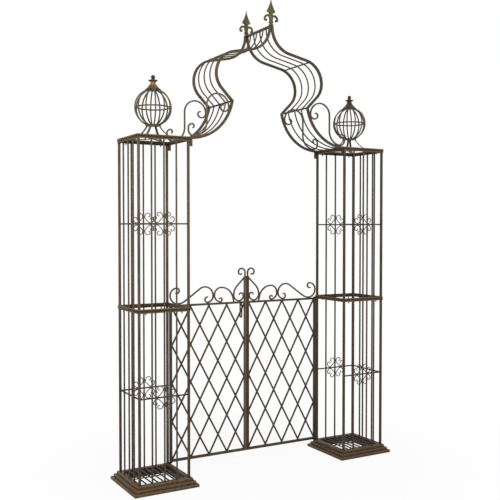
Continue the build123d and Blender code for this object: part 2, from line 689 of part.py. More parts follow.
def hook_scroll(swan_side):
    """Hook from a foot on the rail to a crown beside the S scroll."""
    neck = (HOOK_RISE * CREST_FIT + CREST_SEAT) / sin(LEAN)
    reach = (HOOK_RUN + HOOK_CROWN_RADIUS) * CREST_FIT + CREST_SEAT / tan(LEAN)
    foot = Vector(swan_side - CREST_BAR - SEAT_GAP - reach, GATE_TOP)
    spare = CREST_BAR
    moves = [
        straight(spare + neck),
        crest_bend(HOOK_NECK_RADIUS, -HOOK_HEADING),
        crest_bend(HOOK_CROWN_RADIUS, -90),
        crest_bend(HOOK_BREAST_RADIUS, -90),
        crest_bend(HOOK_END_RADIUS, -HOOK_END_TURN),
    ]
    face = bar_face(foot - unit(HOOK_HEADING) * spare, HOOK_HEADING, moves, CREST_BAR)
    return face & window((0, HINGE_X), (GATE_TOP, 2 * GATE_TOP))


def lyre_scroll():
    """Half of the lyre in the middle of the gates, from the meeting stile to the rail and back."""
    low = Vector(LEAF_INNER + CREST_SEAT + LYRE_CURL_RADIUS * CREST_FIT, CREST_LINE)
    rising = [crest_bend(LYRE_BELLY_RADIUS, 90), crest_bend(LYRE_SHOULDER_RADIUS, LYRE_SHOULDER_TURN)]
    shoulder, heading = walk(low, 0, rising)[-1]
    to_stile = (LEAF_INNER - shoulder.X) / cos(radians(heading))
    forward = rising + [straight(to_stile + CREST_BAR)]
    backward = [
        crest_bend(LYRE_CURL_RADIUS, -90),
        crest_bend(LYRE_BACK_RADIUS, -90),
        crest_bend(LYRE_END_RADIUS, -LYRE_END_TURN),
    ]
    face = bar_face(*from_middle(low, 0, backward, forward), CREST_BAR)
    return face & window((LEAF_INNER, HINGE_X), (GATE_TOP, 2 * GATE_TOP))


def plume_scroll():
    """Curl on top of the meeting stile."""
    foot = Vector(LEAF_INNER - STILE / 2, STILE_TOP)
    moves = [
        straight(PLUME_RISE * CREST_FIT),
        crest_bend(PLUME_RADIUS, -90),
        crest_bend(PLUME_CROWN_RADIUS, -90),
        crest_bend(PLUME_CURL_RADIUS, -90),
        crest_bend(PLUME_END_RADIUS, -PLUME_END_TURN),
    ]
    return bar_face(foot, 90, moves, CREST_BAR)


def hinge_pin(low, high):
    return Pos(HINGE_X, GATE_Y, (low + high) / 2) * Cylinder(PIN_RADIUS, high - low)


def leaf():
    """Named groups of the right leaf, closed."""
    depth = (GATE_FRONT, GATE_Y + STILE / 2)
    between = (LEAF_INNER, LEAF_OUTER)
    swan, swan_side = swan_scroll()
    crest = [swan, hook_scroll(swan_side), lyre_scroll(), plume_scroll()]
    return {
        "hinge_stile": [block((LEAF_OUTER, LEAF_OUTER + STILE), depth, (GATE_BOTTOM, GATE_TOP))],
        "meeting_stile": [block((LEAF_INNER - STILE, LEAF_INNER), depth, (GATE_BOTTOM, STILE_TOP))],
        "rails": [
            block(between, depth, (GATE_BOTTOM, LATTICE_BOTTOM)),
            block(between, depth, (LATTICE_TOP, GATE_TOP)),
        ],
        "lattice": lattice(),
        "crest": [upright(face, CREST_BAR, GATE_Y) for face in crest],
        "hinge_pins": [
            hinge_pin(PLINTH_TOP + PIN_RECESS, GATE_BOTTOM),
            hinge_pin(GATE_TOP, TOP_EYE_Z + EYE_THICK + PIN_TOP_STUB),
        ],
    }


def hinge_eye(low, wall):
    """Plate with a rounded end and a pin hole, out from a wall at X."""
    tongue = window((HINGE_X, wall), (GATE_Y - EYE_RADIUS, GATE_Y + EYE_RADIUS))
    outline = tongue + Pos(HINGE_X, GATE_Y) * Circle(EYE_RADIUS)
    outline -= Pos(HINGE_X, GATE_Y) * Circle(PIN_RADIUS + RUNNING_GAP)
    return extrude(Pos(0, 0, low) * outline, EYE_THICK)


def latch_bracket():
    """Lug under the left top rail and the headed pin that carries the loop."""
    half = LATCH_LUG_WIDTH / 2
    across = (-LATCH_X - half, -LATCH_X + half)
    level = (LATTICE_TOP - LATCH_LUG_DROP, LATTICE_TOP)
    lug = block(across, (GATE_FRONT, GATE_FRONT + LATCH_LUG_THICK), level)
    shank = LOOP_DEPTH + 2 * LOOP_GAP
    pin_place = Plane((-LATCH_X, GATE_FRONT, LATCH_PIN_Z), z_dir=(0, -1, 0))
    pin = extrude(pin_place * Circle(LATCH_PIN_RADIUS), shank)
    pin += extrude(pin_place.offset(shank) * Circle(LATCH_HEAD_RADIUS), LATCH_HEAD_THICK)
    return [lug, pin]


def latch_loop():
    """Long link that hangs from the pin."""
    inner = LATCH_PIN_RADIUS + LOOP_GAP
    outer = inner + LOOP_BAR
    centres = LOOP_LENGTH - 2 * outer
    place = Pos(-LATCH_X, LATCH_PIN_Z - centres / 2) * Rot(0, 0, 90)
    link = SlotCenterToCenter(centres, 2 * outer) - SlotCenterToCenter(centres, 2 * inner)
    return upright(place * link, LOOP_DEPTH, GATE_FRONT - LOOP_GAP - LOOP_DEPTH / 2)


def assembly():
    """Every named piece of the arch, in place."""
    nodes = {}
    for name, pieces in tower().items():
        placed = [Pos(TOWER_X, 0, 0) * piece for piece in pieces]
        nodes["right_" + name] = placed
        nodes["left_" + name] = mirrored(placed)
    for name, pieces in arch_half().items():
        nodes[name] = both_sides(pieces)
    nodes["ridge_bar"] = [ridge()]
    nodes["spear_finials"] = [Pos(0, y, 0) * finial() for y in (-HALF_PITCH, HALF_PITCH)]
    for name, pieces in leaf().items():
        nodes["right_gate_" + name] = pieces
        nodes["left_gate_" + name] = mirrored(pieces)
    lower_eye = hinge_eye(PLINTH_TOP, PASSAGE / 2 - POST / 2)
    upper_eye = hinge_eye(TOP_EYE_Z, TOWER_X - FRAME_HALF)
    nodes["hinge_eyes"] = both_sides([lower_eye, upper_eye])
    nodes["latch_bracket"] = latch_bracket()
    nodes["latch_loop"] = [latch_loop()]
    return nodes


os.makedirs("parts", exist_ok=True)
for node, members in assembly().items():
    solids = [solid for member in members for solid in member.solids()]
    export_step(Compound(solids), f"parts/{node}.step")
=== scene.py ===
import json
from math import acos, atan, atan2, cos, degrees, pi, radians, sin, sqrt

import bmesh
import bpy
from mathutils import Matrix, Vector


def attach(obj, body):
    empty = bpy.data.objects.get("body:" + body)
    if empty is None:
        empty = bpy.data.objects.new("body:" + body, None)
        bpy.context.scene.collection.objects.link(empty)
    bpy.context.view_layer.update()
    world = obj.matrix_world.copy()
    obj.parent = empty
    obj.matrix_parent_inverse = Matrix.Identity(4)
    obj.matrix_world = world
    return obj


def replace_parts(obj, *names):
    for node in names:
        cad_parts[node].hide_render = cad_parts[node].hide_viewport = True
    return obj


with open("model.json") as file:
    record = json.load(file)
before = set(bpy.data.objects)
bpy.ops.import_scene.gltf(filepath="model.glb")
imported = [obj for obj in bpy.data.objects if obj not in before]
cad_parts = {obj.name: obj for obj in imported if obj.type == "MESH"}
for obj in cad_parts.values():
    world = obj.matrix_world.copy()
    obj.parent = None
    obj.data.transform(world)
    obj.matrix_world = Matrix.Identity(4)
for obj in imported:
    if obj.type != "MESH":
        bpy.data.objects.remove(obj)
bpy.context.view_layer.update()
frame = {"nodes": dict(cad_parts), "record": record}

# Sizes are in millimetres, as on the drawing, and become metres where a mesh is made.
MM = 0.001

# Camera, as in the photograph
CAMERA_PLACE = (-2.598, -4.4291, 1.5718)
CAMERA_YAW = 29.789
CAMERA_PITCH = 1.5745
CAMERA_LENS = 55.95
SENSOR = 36.0

# Gaps and bars
SEAT_GAP = 0.25
THIN_BAR = 8.5
CROSSBAR = 9.0
SLAT = 7.5
RAIL = 15.0
SCROLL_BAR = 10.0
CREST_BAR = 10.0
ORNAMENT_WIRE = 5.5
ORB_WIRE = 8.5
BEND_STEP = 5.0  # degrees between the points of a bend
TIP_RUN = 16.0  # length over which a scroll's end is drawn out
TIP_SHARE = 0.62  # of the bar's thickness left at its tip

# Rounded arrises of straight-cut pieces
PLINTH_ARRIS = 1.4
FRAME_ARRIS = 1.0
BAR_ARRIS = 0.7
GATE_ARRIS = 0.8
ARCH_ARRIS = 0.9
LATCH_ARRIS = 0.5
ARRIS_ANGLE = 30.0  # degrees, above which an edge is rounded off
ARRIS_PROFILE = 0.5  # quarter round
FLAT_ANGLE = 0.3  # degrees, below which two faces are one
MERGE_GAP = 1e-6  # metres, below which two corners are one
CREASE = 35.0  # degrees, above which an edge is shaded sharp
BAR_CREASE = 50.0

# Rounded corners of bent bars
FILLET_STEPS = 3
ORNAMENT_CORNER = 1.9
SLAT_CORNER = 1.5
SCROLL_CORNER = 2.5
ORB_CORNER = 3.4
ORB_LEG_CORNER = 1.6
ARM_CORNER = 5.0

# Towers
TOWER_X = 744.0
HALF_PITCH = 160.0
BAR_PLANE = 158.5
CROSSBAR_HEIGHTS = (563.0, 1601.0)
JOINT_HEIGHTS = (1084.0, 2114.0)
QUARTERS = (0, 90, 180, 270)

# Stepped plinths
PLINTH_HALF = 209.0
PLINTH_OPENING = 145.0
PLINTH_TOP = 54.0
STEP_HEIGHT = 18.0
STEP_TREAD = 15.0

# Bolts through the joined frames
BOLT_RADIUS = 4.0
BOLT_SEAT = 3.0  # thickness of each lying leg
BOLT_TAIL = 24.0
BOLT_ACROSS = 117.0  # from the tower's axis
BOLT_DEEP = 157.5

# Parts of a bolt, in radii of the bolt
HEX_SIDES = 6
HEAD_RADIUS = 1.45
HEAD_MIDDLE = 0.7  # above the seat
WASHER_SIDES = 16
WASHER_RADIUS = 2.0
WASHER_THICK = 0.3
WASHER_MIDDLE = 0.1
NUT_RADIUS = 1.85
NUT_THICK = 1.6
TAIL_SIDES = 10
TAIL_RADIUS = 0.95

# Scroll ornaments
ORNAMENT_SPINE = 24.0
ORNAMENT_SHOULDER_RADIUS = 22.0
ORNAMENT_CURL_RADIUS = 13.0
ORNAMENT_CURL_TURN = 110.0
ORNAMENT_EYE_RADIUS = 8.0
ORNAMENT_EYE_TURN = 120.0

# Orbs
CROSS_TOP = 2121.0
DISC_Z = 2198.0
DISC_THICK = 8.0
DISC_RADIUS = 48.5
ORB_RADIUS = 111.0
ORB_NECK_RADIUS = 36.0
ORB_RIBS = 12
ORB_FOOT_RADIUS = 125.0
ORB_LEG_TOP_RADIUS = 41.0
ORB_LEG_FLARE = 36.0
ORB_LEG_WIDTH = 14.0
ORB_LEG_THICK = 6.0
ORB_LEG_TURN = 45.0
ORB_POLE = sqrt(ORB_RADIUS**2 - ORB_NECK_RADIUS**2)
ORB_Z = DISC_Z + DISC_THICK + ORB_POLE

# Turned caps of the orbs
TURNED_SEGMENTS = 48
CAP_Z = ORB_Z + ORB_POLE
CAP_RIM = 5.0
CAP_WAIST = (15.0, 46.0)
CAP_COVE = 3.0
CAP_COVE_STEPS = 12
CAP_FLANGE = (29.0, 55.0)
CAP_FLANGE_THICK = 6.0
CAP_FLANGE_START = -80.0  # degrees
CAP_FLARE_COVE = 2.0
CAP_NECK = (9.0, 70.0)
CAP_NECK_COVE = 3.0
CAP_WAIST_BEAD = 2.2
CAP_NECK_BEAD = 1.8
CAP_BEAD_ARC = 60.0  # degrees to either side
CAP_BALL_RADIUS = 13.0
CAP_BALL_STEP = 8.0  # degrees between the ball's ends and its rings
CAP_BALL_STEPS = 14

# Arch
ARCH_FOOT = Vector((574.0, 2120.5))
BRACKET_RADIUS = 297.0
BRACKET_SWEEP = 80.0
RUN_HEADING = 45.0
RUN_LENGTH = 105.0
BULGE_LOWER_RADIUS = 126.0
BULGE_UPPER_RADIUS = 147.0
OGEE_RADIUS = 162.0
OGEE_RISE = 494.6
CUSP_BAR_RADIUS = 6.0
RIDGE_WIDTH = 32.0
RIDGE_THICK = 6.0
SLAT_SHIFT = (RAIL - SLAT) / 2
SLAT_PLACES = (-80.0, 0.0, 80.0)
BRACKET_CENTRE = ARCH_FOOT + Vector((0, BRACKET_RADIUS))
APEX_Z = ARCH_FOOT.y + BRACKET_RADIUS * (1 - cos(radians(BRACKET_SWEEP))) + OGEE_RISE
APEX = Vector(((RIDGE_WIDTH - RAIL) / 2, APEX_Z))
RIDGE_Z = APEX_Z + RIDGE_THICK

# Scrolls in the corners of the arch
SCROLL_TOUCH = 200.8
SCROLL_CURL_RADIUS = 30.0
SCROLL_CURL_TURN = 140.0
SCROLL_EYE_RADIUS = 17.0
SCROLL_EYE_TURN = 150.0
SCROLL_CROWN_RADIUS = 76.0
SCROLL_HEEL_RADIUS = 90.0
SCROLL_FOOT_RADIUS = 34.0
SCROLL_FOOT_RISE = 14.0
SCROLL_FOOT_TOP_RADIUS = 24.0
SCROLL_FOOT_CURL_RADIUS = 13.0
SCROLL_FOOT_CURL_TURN = 165.0

# Spear finials
FINIAL_BASE_RADIUS = 16.0
FINIAL_BASE_ROUND = 3.0
FINIAL_BASE_COVE = 1.0
FINIAL_STEM_RADIUS = 11.5
FINIAL_COLLAR_RADIUS = 16.0
FINIAL_COLLAR_Z = 21.0
FINIAL_COLLAR_ROUND = 5.0
FINIAL_COLLAR_ARC = 80.0  # degrees to either side
FINIAL_KNOP = (14.5, 49.0)  # swelling where the arms spring
FINIAL_KNOP_RUN = 14.0
FINIAL_KNOP_STEPS = 10
FINIAL_RING = (11.5, 76.0)
FINIAL_RING_ROUND = 3.0
FINIAL_RING_ARC = 70.0  # degrees to either side
BLADE_FOOT = (80.0, 30.0, 23.0)  # height, width and depth
BLADE_BARB = (90.0, 67.0, 24.0)
BLADE_TIP = (177.0, 1.6, 1.6)
BLADE_TAPER = (1.7, 0.7)  # how hollow the taper is in width and in depth
BLADE_SHOULDER = (0.0, 30.0, 60.0)  # degrees round the shoulder
BLADE_STEPS = 12
BLADE_FLAT = 0.14  # half of the ridge's flat, as a share of the width
ARM_ROOT = Vector((1.5, 49.0))
ARM_HEADING = 65.0
ARM_RADIUS = 24.0
ARM_CURL_RADIUS = 7.0
ARM_CURL_TURN = 120.0
ARM_WIDTH = 15.0
ARM_DEPTH = 14.0
ARM_THINNING = 0.25
ARM_BEAD_RADIUS = 8.0
ARM_BEAD_DETAIL = 3

# Gates
GATE_Y = 160.0
GATE_TOP = 1079.6
HINGE_X = 561.0
STILE = 16.0
LEAF_INNER = 18.0
STILE_TOP = 1249.6
CREST_LINE = GATE_TOP + SEAT_GAP + CREST_BAR / 2

# Latch link, a flat bar with a slot that narrows below the pin
LATCH_X = 48.0
LATCH_PIN_Z = 1058.6
LINK_Y = 149.2
LINK_DEPTH = 5.0
LINK_HALF = 10.3
LINK_EYE = 5.3
LINK_SLOT = 2.3
LINK_NECK = ((4.0, 5.0), (8.0, 3.2), (12.0, 2.3))  # drops below the pin and the slot's half width there
LINK_CENTRES = 79.4
LINK_STEPS = 12

# Scrollwork on the gates' top rails
SWAN_HEEL_RADIUS = 55.0
SWAN_BACK_RADIUS = 47.0
SWAN_EYE_RADIUS = 17.5
SWAN_EYE_TURN = 215.0
SWAN_SWEEP_RADIUS = 90.0
SWAN_SLOPE = 35.0
SWAN_CROWN_RADIUS = 61.0
SWAN_BREAST_RADIUS = 42.0
SWAN_END_RADIUS = 18.0
SWAN_END_TURN = 195.0
HOOK_HEADING = 78.0
HOOK_NECK_RADIUS = 92.0
HOOK_CROWN_RADIUS = 50.0
HOOK_BREAST_RADIUS = 45.0
HOOK_END_RADIUS = 12.0
HOOK_END_TURN = 250.0
LYRE_BELLY_RADIUS = 40.0
LYRE_SHOULDER_RADIUS = 85.0
LYRE_SHOULDER_TURN = 45.0
LYRE_CURL_RADIUS = 34.0
LYRE_BACK_RADIUS = 18.0
LYRE_END_RADIUS = 12.0
LYRE_END_TURN = 100.0
PLUME_RISE = 26.0
PLUME_RADIUS = 27.0
PLUME_CROWN_RADIUS = 24.0
PLUME_CURL_RADIUS = 16.0
PLUME_END_RADIUS = 10.0
PLUME_END_TURN = 80.0

# Weld beads where scrolls touch their neighbours
WELD_RADIUS = 3.6
WELD_OVERHANG = 1.2  # past both faces of the bar
WELD_SPREAD = (0.8, 1.25)
WELD_SEGMENTS = 10
WELD_RINGS = 6
WELD_SEED = 7

# Iron finishes: dark coat, rubbed streaks, rust, and how far the rust has spread
IRON_COATS = {
    "dark_iron": ((0.041, 0.030, 0.017), (0.155, 0.114, 0.066), (0.098, 0.049, 0.020), 0.30),
    "gate_iron": ((0.044, 0.031, 0.016), (0.142, 0.102, 0.056), (0.100, 0.048, 0.019), 0.45),
    "rusted_band": ((0.052, 0.034, 0.016), (0.180, 0.122, 0.062), (0.122, 0.054, 0.020), 0.60),
    "scroll_iron": ((0.066, 0.051, 0.031), (0.205, 0.160, 0.100), (0.115, 0.066, 0.030), 0.25),
    "orb_verdigris": ((0.052, 0.044, 0.021), (0.160, 0.138, 0.067), (0.098, 0.062, 0.024), 0.30),
    "finial_bronze": ((0.047, 0.042, 0.013), (0.160, 0.142, 0.052), (0.085, 0.058, 0.018), 0.35),
    "left_cap_rust": ((0.058, 0.029, 0.010), (0.330, 0.210, 0.098), (0.176, 0.065, 0.015), 0.75),
    "right_cap_rust": ((0.046, 0.028, 0.011), (0.130, 0.083, 0.036), (0.094, 0.043, 0.015), 0.55),
    "hinge_iron": ((0.034, 0.025, 0.015), (0.115, 0.088, 0.054), (0.084, 0.044, 0.019), 0.40),
}
STREAK_SCALE = (60.0, 60.0, 9.0)

# Noise in the finishes: scale and detail
BLOOMS = (9.0, 5.0)
GRAIN = (150.0, 6.0)
RUNS = (1.0, 6.0)
PITS = (480.0, 2.0)
CAP_PATCHES = (50.0, 3.0)

# How the noise is mixed into masks, the spans over which these set in, and their shares
EVENLY = (0.5, 0.5)
RUB_SPAN = (0.38, 0.68)
RUST_MIX = (0.55, 0.3, 0.15)  # of blooms, grain and runs
RUST_ONSET = 0.64
RUST_ONSET_DROP = 0.3  # where the rust has spread
RUST_FADE = 0.1
RUST_SHARE = 0.8
SOOT_MIX = (0.6, 0.4)  # of pits and blooms
SOOT_SPAN = (0.52, 0.66)
SOOT_SHARE = 0.55
SOOT_SHADE = 0.4
COAT_ROUGHNESS = 0.55
RUST_ROUGHNESS = 0.2
RUB_GLOSS = 0.1
COAT_SPECULAR = 0.25
BARE_METAL = 0.4  # metallic share of the rubbed streaks
PIT_DEPTH = 1.0
PIT_STRENGTH = 0.4

# Wear on edges and painted shade in corners
WEAR_REACH = 2.0  # from an edge into the metal
WEAR_SAMPLES = 8
WEAR_SPAN = (0.3, 0.7)
EDGE_WEAR = 0.8
WEAR_BASE = 0.4  # share of the wear that the grain doesn't break up
WEAR_GRAIN = 1.1
CORNER_SHADE_REACH = 12.0  # from a corner over the surface
CORNER_SHADE_SPAN = (0.2, 0.6)
# Painted shade: how dark the piece's own inside corners are drawn
CORNER_SHADE = 0.7

# Wear, dirt, painted highlights and painted shade by place
MARK_FADE = 1.0  # at the border of a mark
STEP_HIGHLIGHT_ONSET = 0.55  # share of a step below which its arris gets no painted highlight
# Painted highlight on the steps' arrises
STEP_HIGHLIGHT = 0.75
STEP_SHADE_REACH = 0.45  # share of a step that holds painted shade
# Painted shade in the steps' corners
STEP_SHADE = 0.7
FRAME_INSIDE = 167.2  # from the tower axis
JOINT_DIRT_SPAN = (2.5, 8.0)  # from the joint of two frames
JOINT_DIRT = 0.8
# Painted shade on the frames' inside
INSIDE_SHADE = 0.6
RIM_WEAR_SPAN = (7.0, 12.0)
RIM_WEAR = 0.95
LEFT_SIDE = (-700.0, -300.0)  # over which the painted highlight of the left side fades
# Painted highlight high on the left tower
LEFT_HIGHLIGHT = 0.2
RIGHT_SIDE = (0.0, 250.0)  # over which the painted shade of the right side sets in
# Painted shade towards the right tower
RIGHT_SHADE = 0.4
LOW_PART = (950.0, 1150.0)  # heights over which the darkening of the lower cages and gates fades
LOW_DARKENING = 0.3
STILE_HIGHLIGHT = 0.7  # painted highlight on the left leaf's meeting stile
STILE_SHADE = 0.5  # painted shade on the right leaf's
CAP_BRIGHT = (24.0, 34.0)  # heights over which the bright waist starts
CAP_DULL = (47.0, 54.0)  # and ends
CAP_PATCH_SPAN = (0.44, 0.56)
CAP_WEAR = 0.8
# Dirt and painted shade on the cap outside its waist
CAP_DIRT_AND_SHADE = 0.85

# Studio
LAMPS = {"key": ((-3.5, -3.5, 4.5), 2.5, 190.0), "fill": ((3.5, -3.0, 3.0), 3.0, 28.0)}  # place, size, power
LAMP_TARGET = (0.0, 0.0, 1.4)
SOFT_LIGHT = 0.5
FLOOR_HALF = 30.0
FLOOR_COLOUR = (0.85, 0.85, 0.85, 1.0)
FLOOR_SHADE = 0.08  # share of the floor's own shading near the arch
SHADE_REACH = (0.6, 2.2)
WHITE = (1.0, 1.0, 1.0, 1.0)


def unit(angle):
    return Vector((cos(radians(angle)), sin(radians(angle))))


def straight(length):
    return ("straight", length, 0.0)


def bend(radius, turn):
    return ("bend", radius, turn)


def trace(start, heading, moves):
    """Points along a bar's centre line."""
    points = [start]
    for kind, size, turn in moves:
        if kind == "straight":
            points.append(points[-1] + unit(heading) * size)
            continue
        side = 90 if turn > 0 else -90
        centre = points[-1] + unit(heading + side) * size
        steps = max(2, round(abs(turn) / BEND_STEP))
        for step in range(1, steps + 1):
            points.append(centre - unit(heading + side + turn * step / steps) * size)
        heading += turn
    return points


def both_ways(anchor, heading, backward, forward):
    """Points of a bar that is laid out both ways from one point."""
    return trace(anchor, heading + 180, backward)[:0:-1] + trace(anchor, heading, forward)


def beside(moves, shift):
    """Moves of a bar that runs beside another, to the right of it."""
    return [(kind, size + shift * (turn > 0) - shift * (turn < 0), turn) for kind, size, turn in moves]


def drawn_out(points, first, last):
    """Share of the full thickness at each point of a bar whose ends are drawn out."""
    run = [0.0]
    for point, following in zip(points, points[1:]):
        run.append(run[-1] + (following - point).length)
    shares = []
    for along in run:
        near = min(along if first else TIP_RUN, run[-1] - along if last else TIP_RUN, TIP_RUN)
        shares.append(TIP_SHARE + (1 - TIP_SHARE) * sqrt(near / TIP_RUN))
    return shares


def flipped(points):
    return [Vector((-point.x, point.y)) for point in points]


def bowed(first, last, bow, steps=6):
    """Profile points of an arc, from after its first end, swollen to the right or hollow if negative."""
    first = Vector(first)
    last = Vector(last)
    half = (last - first).length / 2
    ahead = (last - first).normalized()
    outward = Vector((ahead.y, -ahead.x))
    sweep = 2 * atan(bow / half)
    radius = half / sin(sweep)
    points = []
    for step in range(1, steps + 1):
        angle = sweep * (2 * step / steps - 1)
        along = ahead * (radius * sin(angle))
        points.append((first + last) / 2 + along + outward * radius * (cos(angle) - cos(sweep)))
    return points


def rounded(centre_radius, centre_z, size, first, last, steps=6):
    """Profile points of a rounded moulding, by angles from the outward direction."""
    angles = [first + (last - first) * step / steps for step in range(steps + 1)]
    return [Vector((centre_radius, centre_z)) + unit(angle) * size for angle in angles]


class Wire:
    """A node's output that takes part in Python sums, each of which adds a Math node."""

    def __init__(self, nodes, socket):
        self.nodes = nodes
        self.socket = socket

    def sum(self, operation, first, second):
        return self.nodes.add("ShaderNodeMath", {"operation": operation}, {0: first, 1: second})

    def __add__(self, other):
        return self.sum("ADD", self, other)

    __radd__ = __add__

    def __sub__(self, other):
        return self.sum("SUBTRACT", self, other)

    def __rsub__(self, other):
        return self.sum("SUBTRACT", other, self)

    def __mul__(self, other):
        return self.sum("MULTIPLY", self, other)

    __rmul__ = __mul__

    def __or__(self, other):
        """The larger of two masks."""
        return self.sum("MAXIMUM", self, other)

    __ror__ = __or__

    def __abs__(self):
        return self.sum("ABSOLUTE", self, 0.0)


class Nodes:
    """A node tree, and the one method that adds any node to it."""

    def __init__(self, tree):
        self.tree = tree
        tree.nodes.clear()

    def add(self, kind, settings=None, sockets=None, output=0):
        node = self.tree.nodes.new(kind)
        for name, value in (settings or {}).items():
            setattr(node, name, value)
        for name, value in (sockets or {}).items():
            for wire in value if isinstance(value, list) else [value]:
                if isinstance(wire, Wire):
                    self.tree.links.new(wire.socket, node.inputs[name])
                else:
                    node.inputs[name].default_value = wire
        return Wire(self, node.outputs[output]) if node.outputs else None

    def blend(self, mask, below, above):
        """One colour over another, by a mask."""
        settings = {"data_type": "RGBA", "blend_type": "MIX"}
        return self.add("ShaderNodeMix", settings, {0: mask, 6: below, 7: above}, 2)

    def rise(self, value, low, high):
        """Smooth step of a value from 0 at low to 1 at high."""
        settings = {"interpolation_type": "SMOOTHSTEP"}
        return self.add("ShaderNodeMapRange", settings, {0: value, 1: low, 2: high})

    def over(self, value, span):
        """Smooth step of a length over a span in millimetres."""
        return self.rise(value, span[0] * MM, span[1] * MM)

    def noise(self, place, scale, detail):
        return self.add("ShaderNodeTexNoise", None, {"Vector": place, "Scale": scale, "Detail": detail})

    def axis(self, place, name):
        return self.add("ShaderNodeSeparateXYZ", None, {"Vector": place}, name)

    def closeness(self, reach, inside):
        """How near the piece's own surface lies round a point, inside the metal or outside it."""
        settings = {"only_local": True, "inside": inside, "samples": WEAR_SAMPLES}
        return 1.0 - self.add("ShaderNodeAmbientOcclusion", settings, {"Distance": reach * MM}, "AO")


def weighted(masks, shares):
    """Sum of masks by their shares."""
    first, *others = [mask * share for mask, share in zip(masks, shares)]
    return sum(others, first)


def off_axis(nodes, place):
    """How far a place lies from the nearer tower's axis, measured squarely."""
    return abs(abs(nodes.axis(place, "X")) - TOWER_X * MM) | abs(nodes.axis(place, "Y"))


def side_marks(nodes, place):
    """Masks of the painted highlight high on the left tower, and of the painted shade towards the right
    tower with the darkening lower down.
    """
    x = nodes.axis(place, "X")
    high = nodes.over(nodes.axis(place, "Z"), LOW_PART)
    left = 1.0 - nodes.over(x, LEFT_SIDE)
    return left * high * LEFT_HIGHLIGHT, nodes.over(x, RIGHT_SIDE) * RIGHT_SHADE | (1.0 - high) * LOW_DARKENING


def plinth_marks(nodes, place):
    """Masks of the painted highlight on the steps' arrises, and of the painted shade in their corners and in
    the opening.
    """
    z = nodes.axis(place, "Z")
    out = off_axis(nodes, place)
    climb = z * (1 / (STEP_HEIGHT * MM)) + (out - PLINTH_HALF * MM) * (1 / (STEP_TREAD * MM))
    below_top = 1.0 - nodes.over(z, (PLINTH_TOP - MARK_FADE, PLINTH_TOP))
    # Painted shade inside the opening, in the steps' corners and towards the right tower
    opening = 1.0 - nodes.over(out, (PLINTH_OPENING, PLINTH_OPENING + 2 * MARK_FADE))
    corners = (1.0 - nodes.rise(climb, 0.0, STEP_SHADE_REACH)) * below_top
    right = nodes.over(nodes.axis(place, "X"), RIGHT_SIDE)
    dirt_and_shade = corners * STEP_SHADE | opening | right * RIGHT_SHADE
    # Painted highlight on the steps' arrises
    return nodes.rise(climb, STEP_HIGHLIGHT_ONSET, 1.0) * STEP_HIGHLIGHT, dirt_and_shade


def gate_marks(nodes, place):
    """Masks of the painted highlight on the left leaf's meeting stile, and of the painted shade on the right
    one, with the darkening of the sides elsewhere.
    """
    x = nodes.axis(place, "X")
    stiles = 1.0 - nodes.over(abs(x), (LEAF_INNER, LEAF_INNER + MARK_FADE))
    right = nodes.over(x, (-MARK_FADE, MARK_FADE))
    dirt_and_shade = side_marks(nodes, place)[1]
    return stiles * (1.0 - right) * STILE_HIGHLIGHT, stiles * right * STILE_SHADE | dirt_and_shade


def frame_marks(nodes, place):
    """Masks of the worn rims of the joined frames, and of the dirt in their joint and the painted shade on
    their inside.
    """
    low, high = JOINT_HEIGHTS
    near = abs(abs(nodes.axis(place, "Z") - (low + high) / 2 * MM) - (high - low) / 2 * MM)
    joint = 1.0 - nodes.over(near, JOINT_DIRT_SPAN)
    # Painted shade on the frames' inner faces
    inside = 1.0 - nodes.over(off_axis(nodes, place), (FRAME_INSIDE, FRAME_INSIDE + MARK_FADE))
    return nodes.over(near, RIM_WEAR_SPAN) * RIM_WEAR, joint * JOINT_DIRT | inside * INSIDE_SHADE


def cap_marks(nodes, place):
    """Masks of the bright waist of an orb's cap, and of the dirt and painted shade between the rusty patches
    of the rest.
    """
    z = nodes.axis(place, "Z") - CAP_Z * MM
    waist = nodes.over(z, CAP_BRIGHT) * (1.0 - nodes.over(z, CAP_DULL))
    patches = nodes.rise(nodes.noise(place, *CAP_PATCHES), *CAP_PATCH_SPAN)
    return waist * CAP_WEAR, (1.0 - waist) * (1.0 - patches) * CAP_DIRT_AND_SHADE


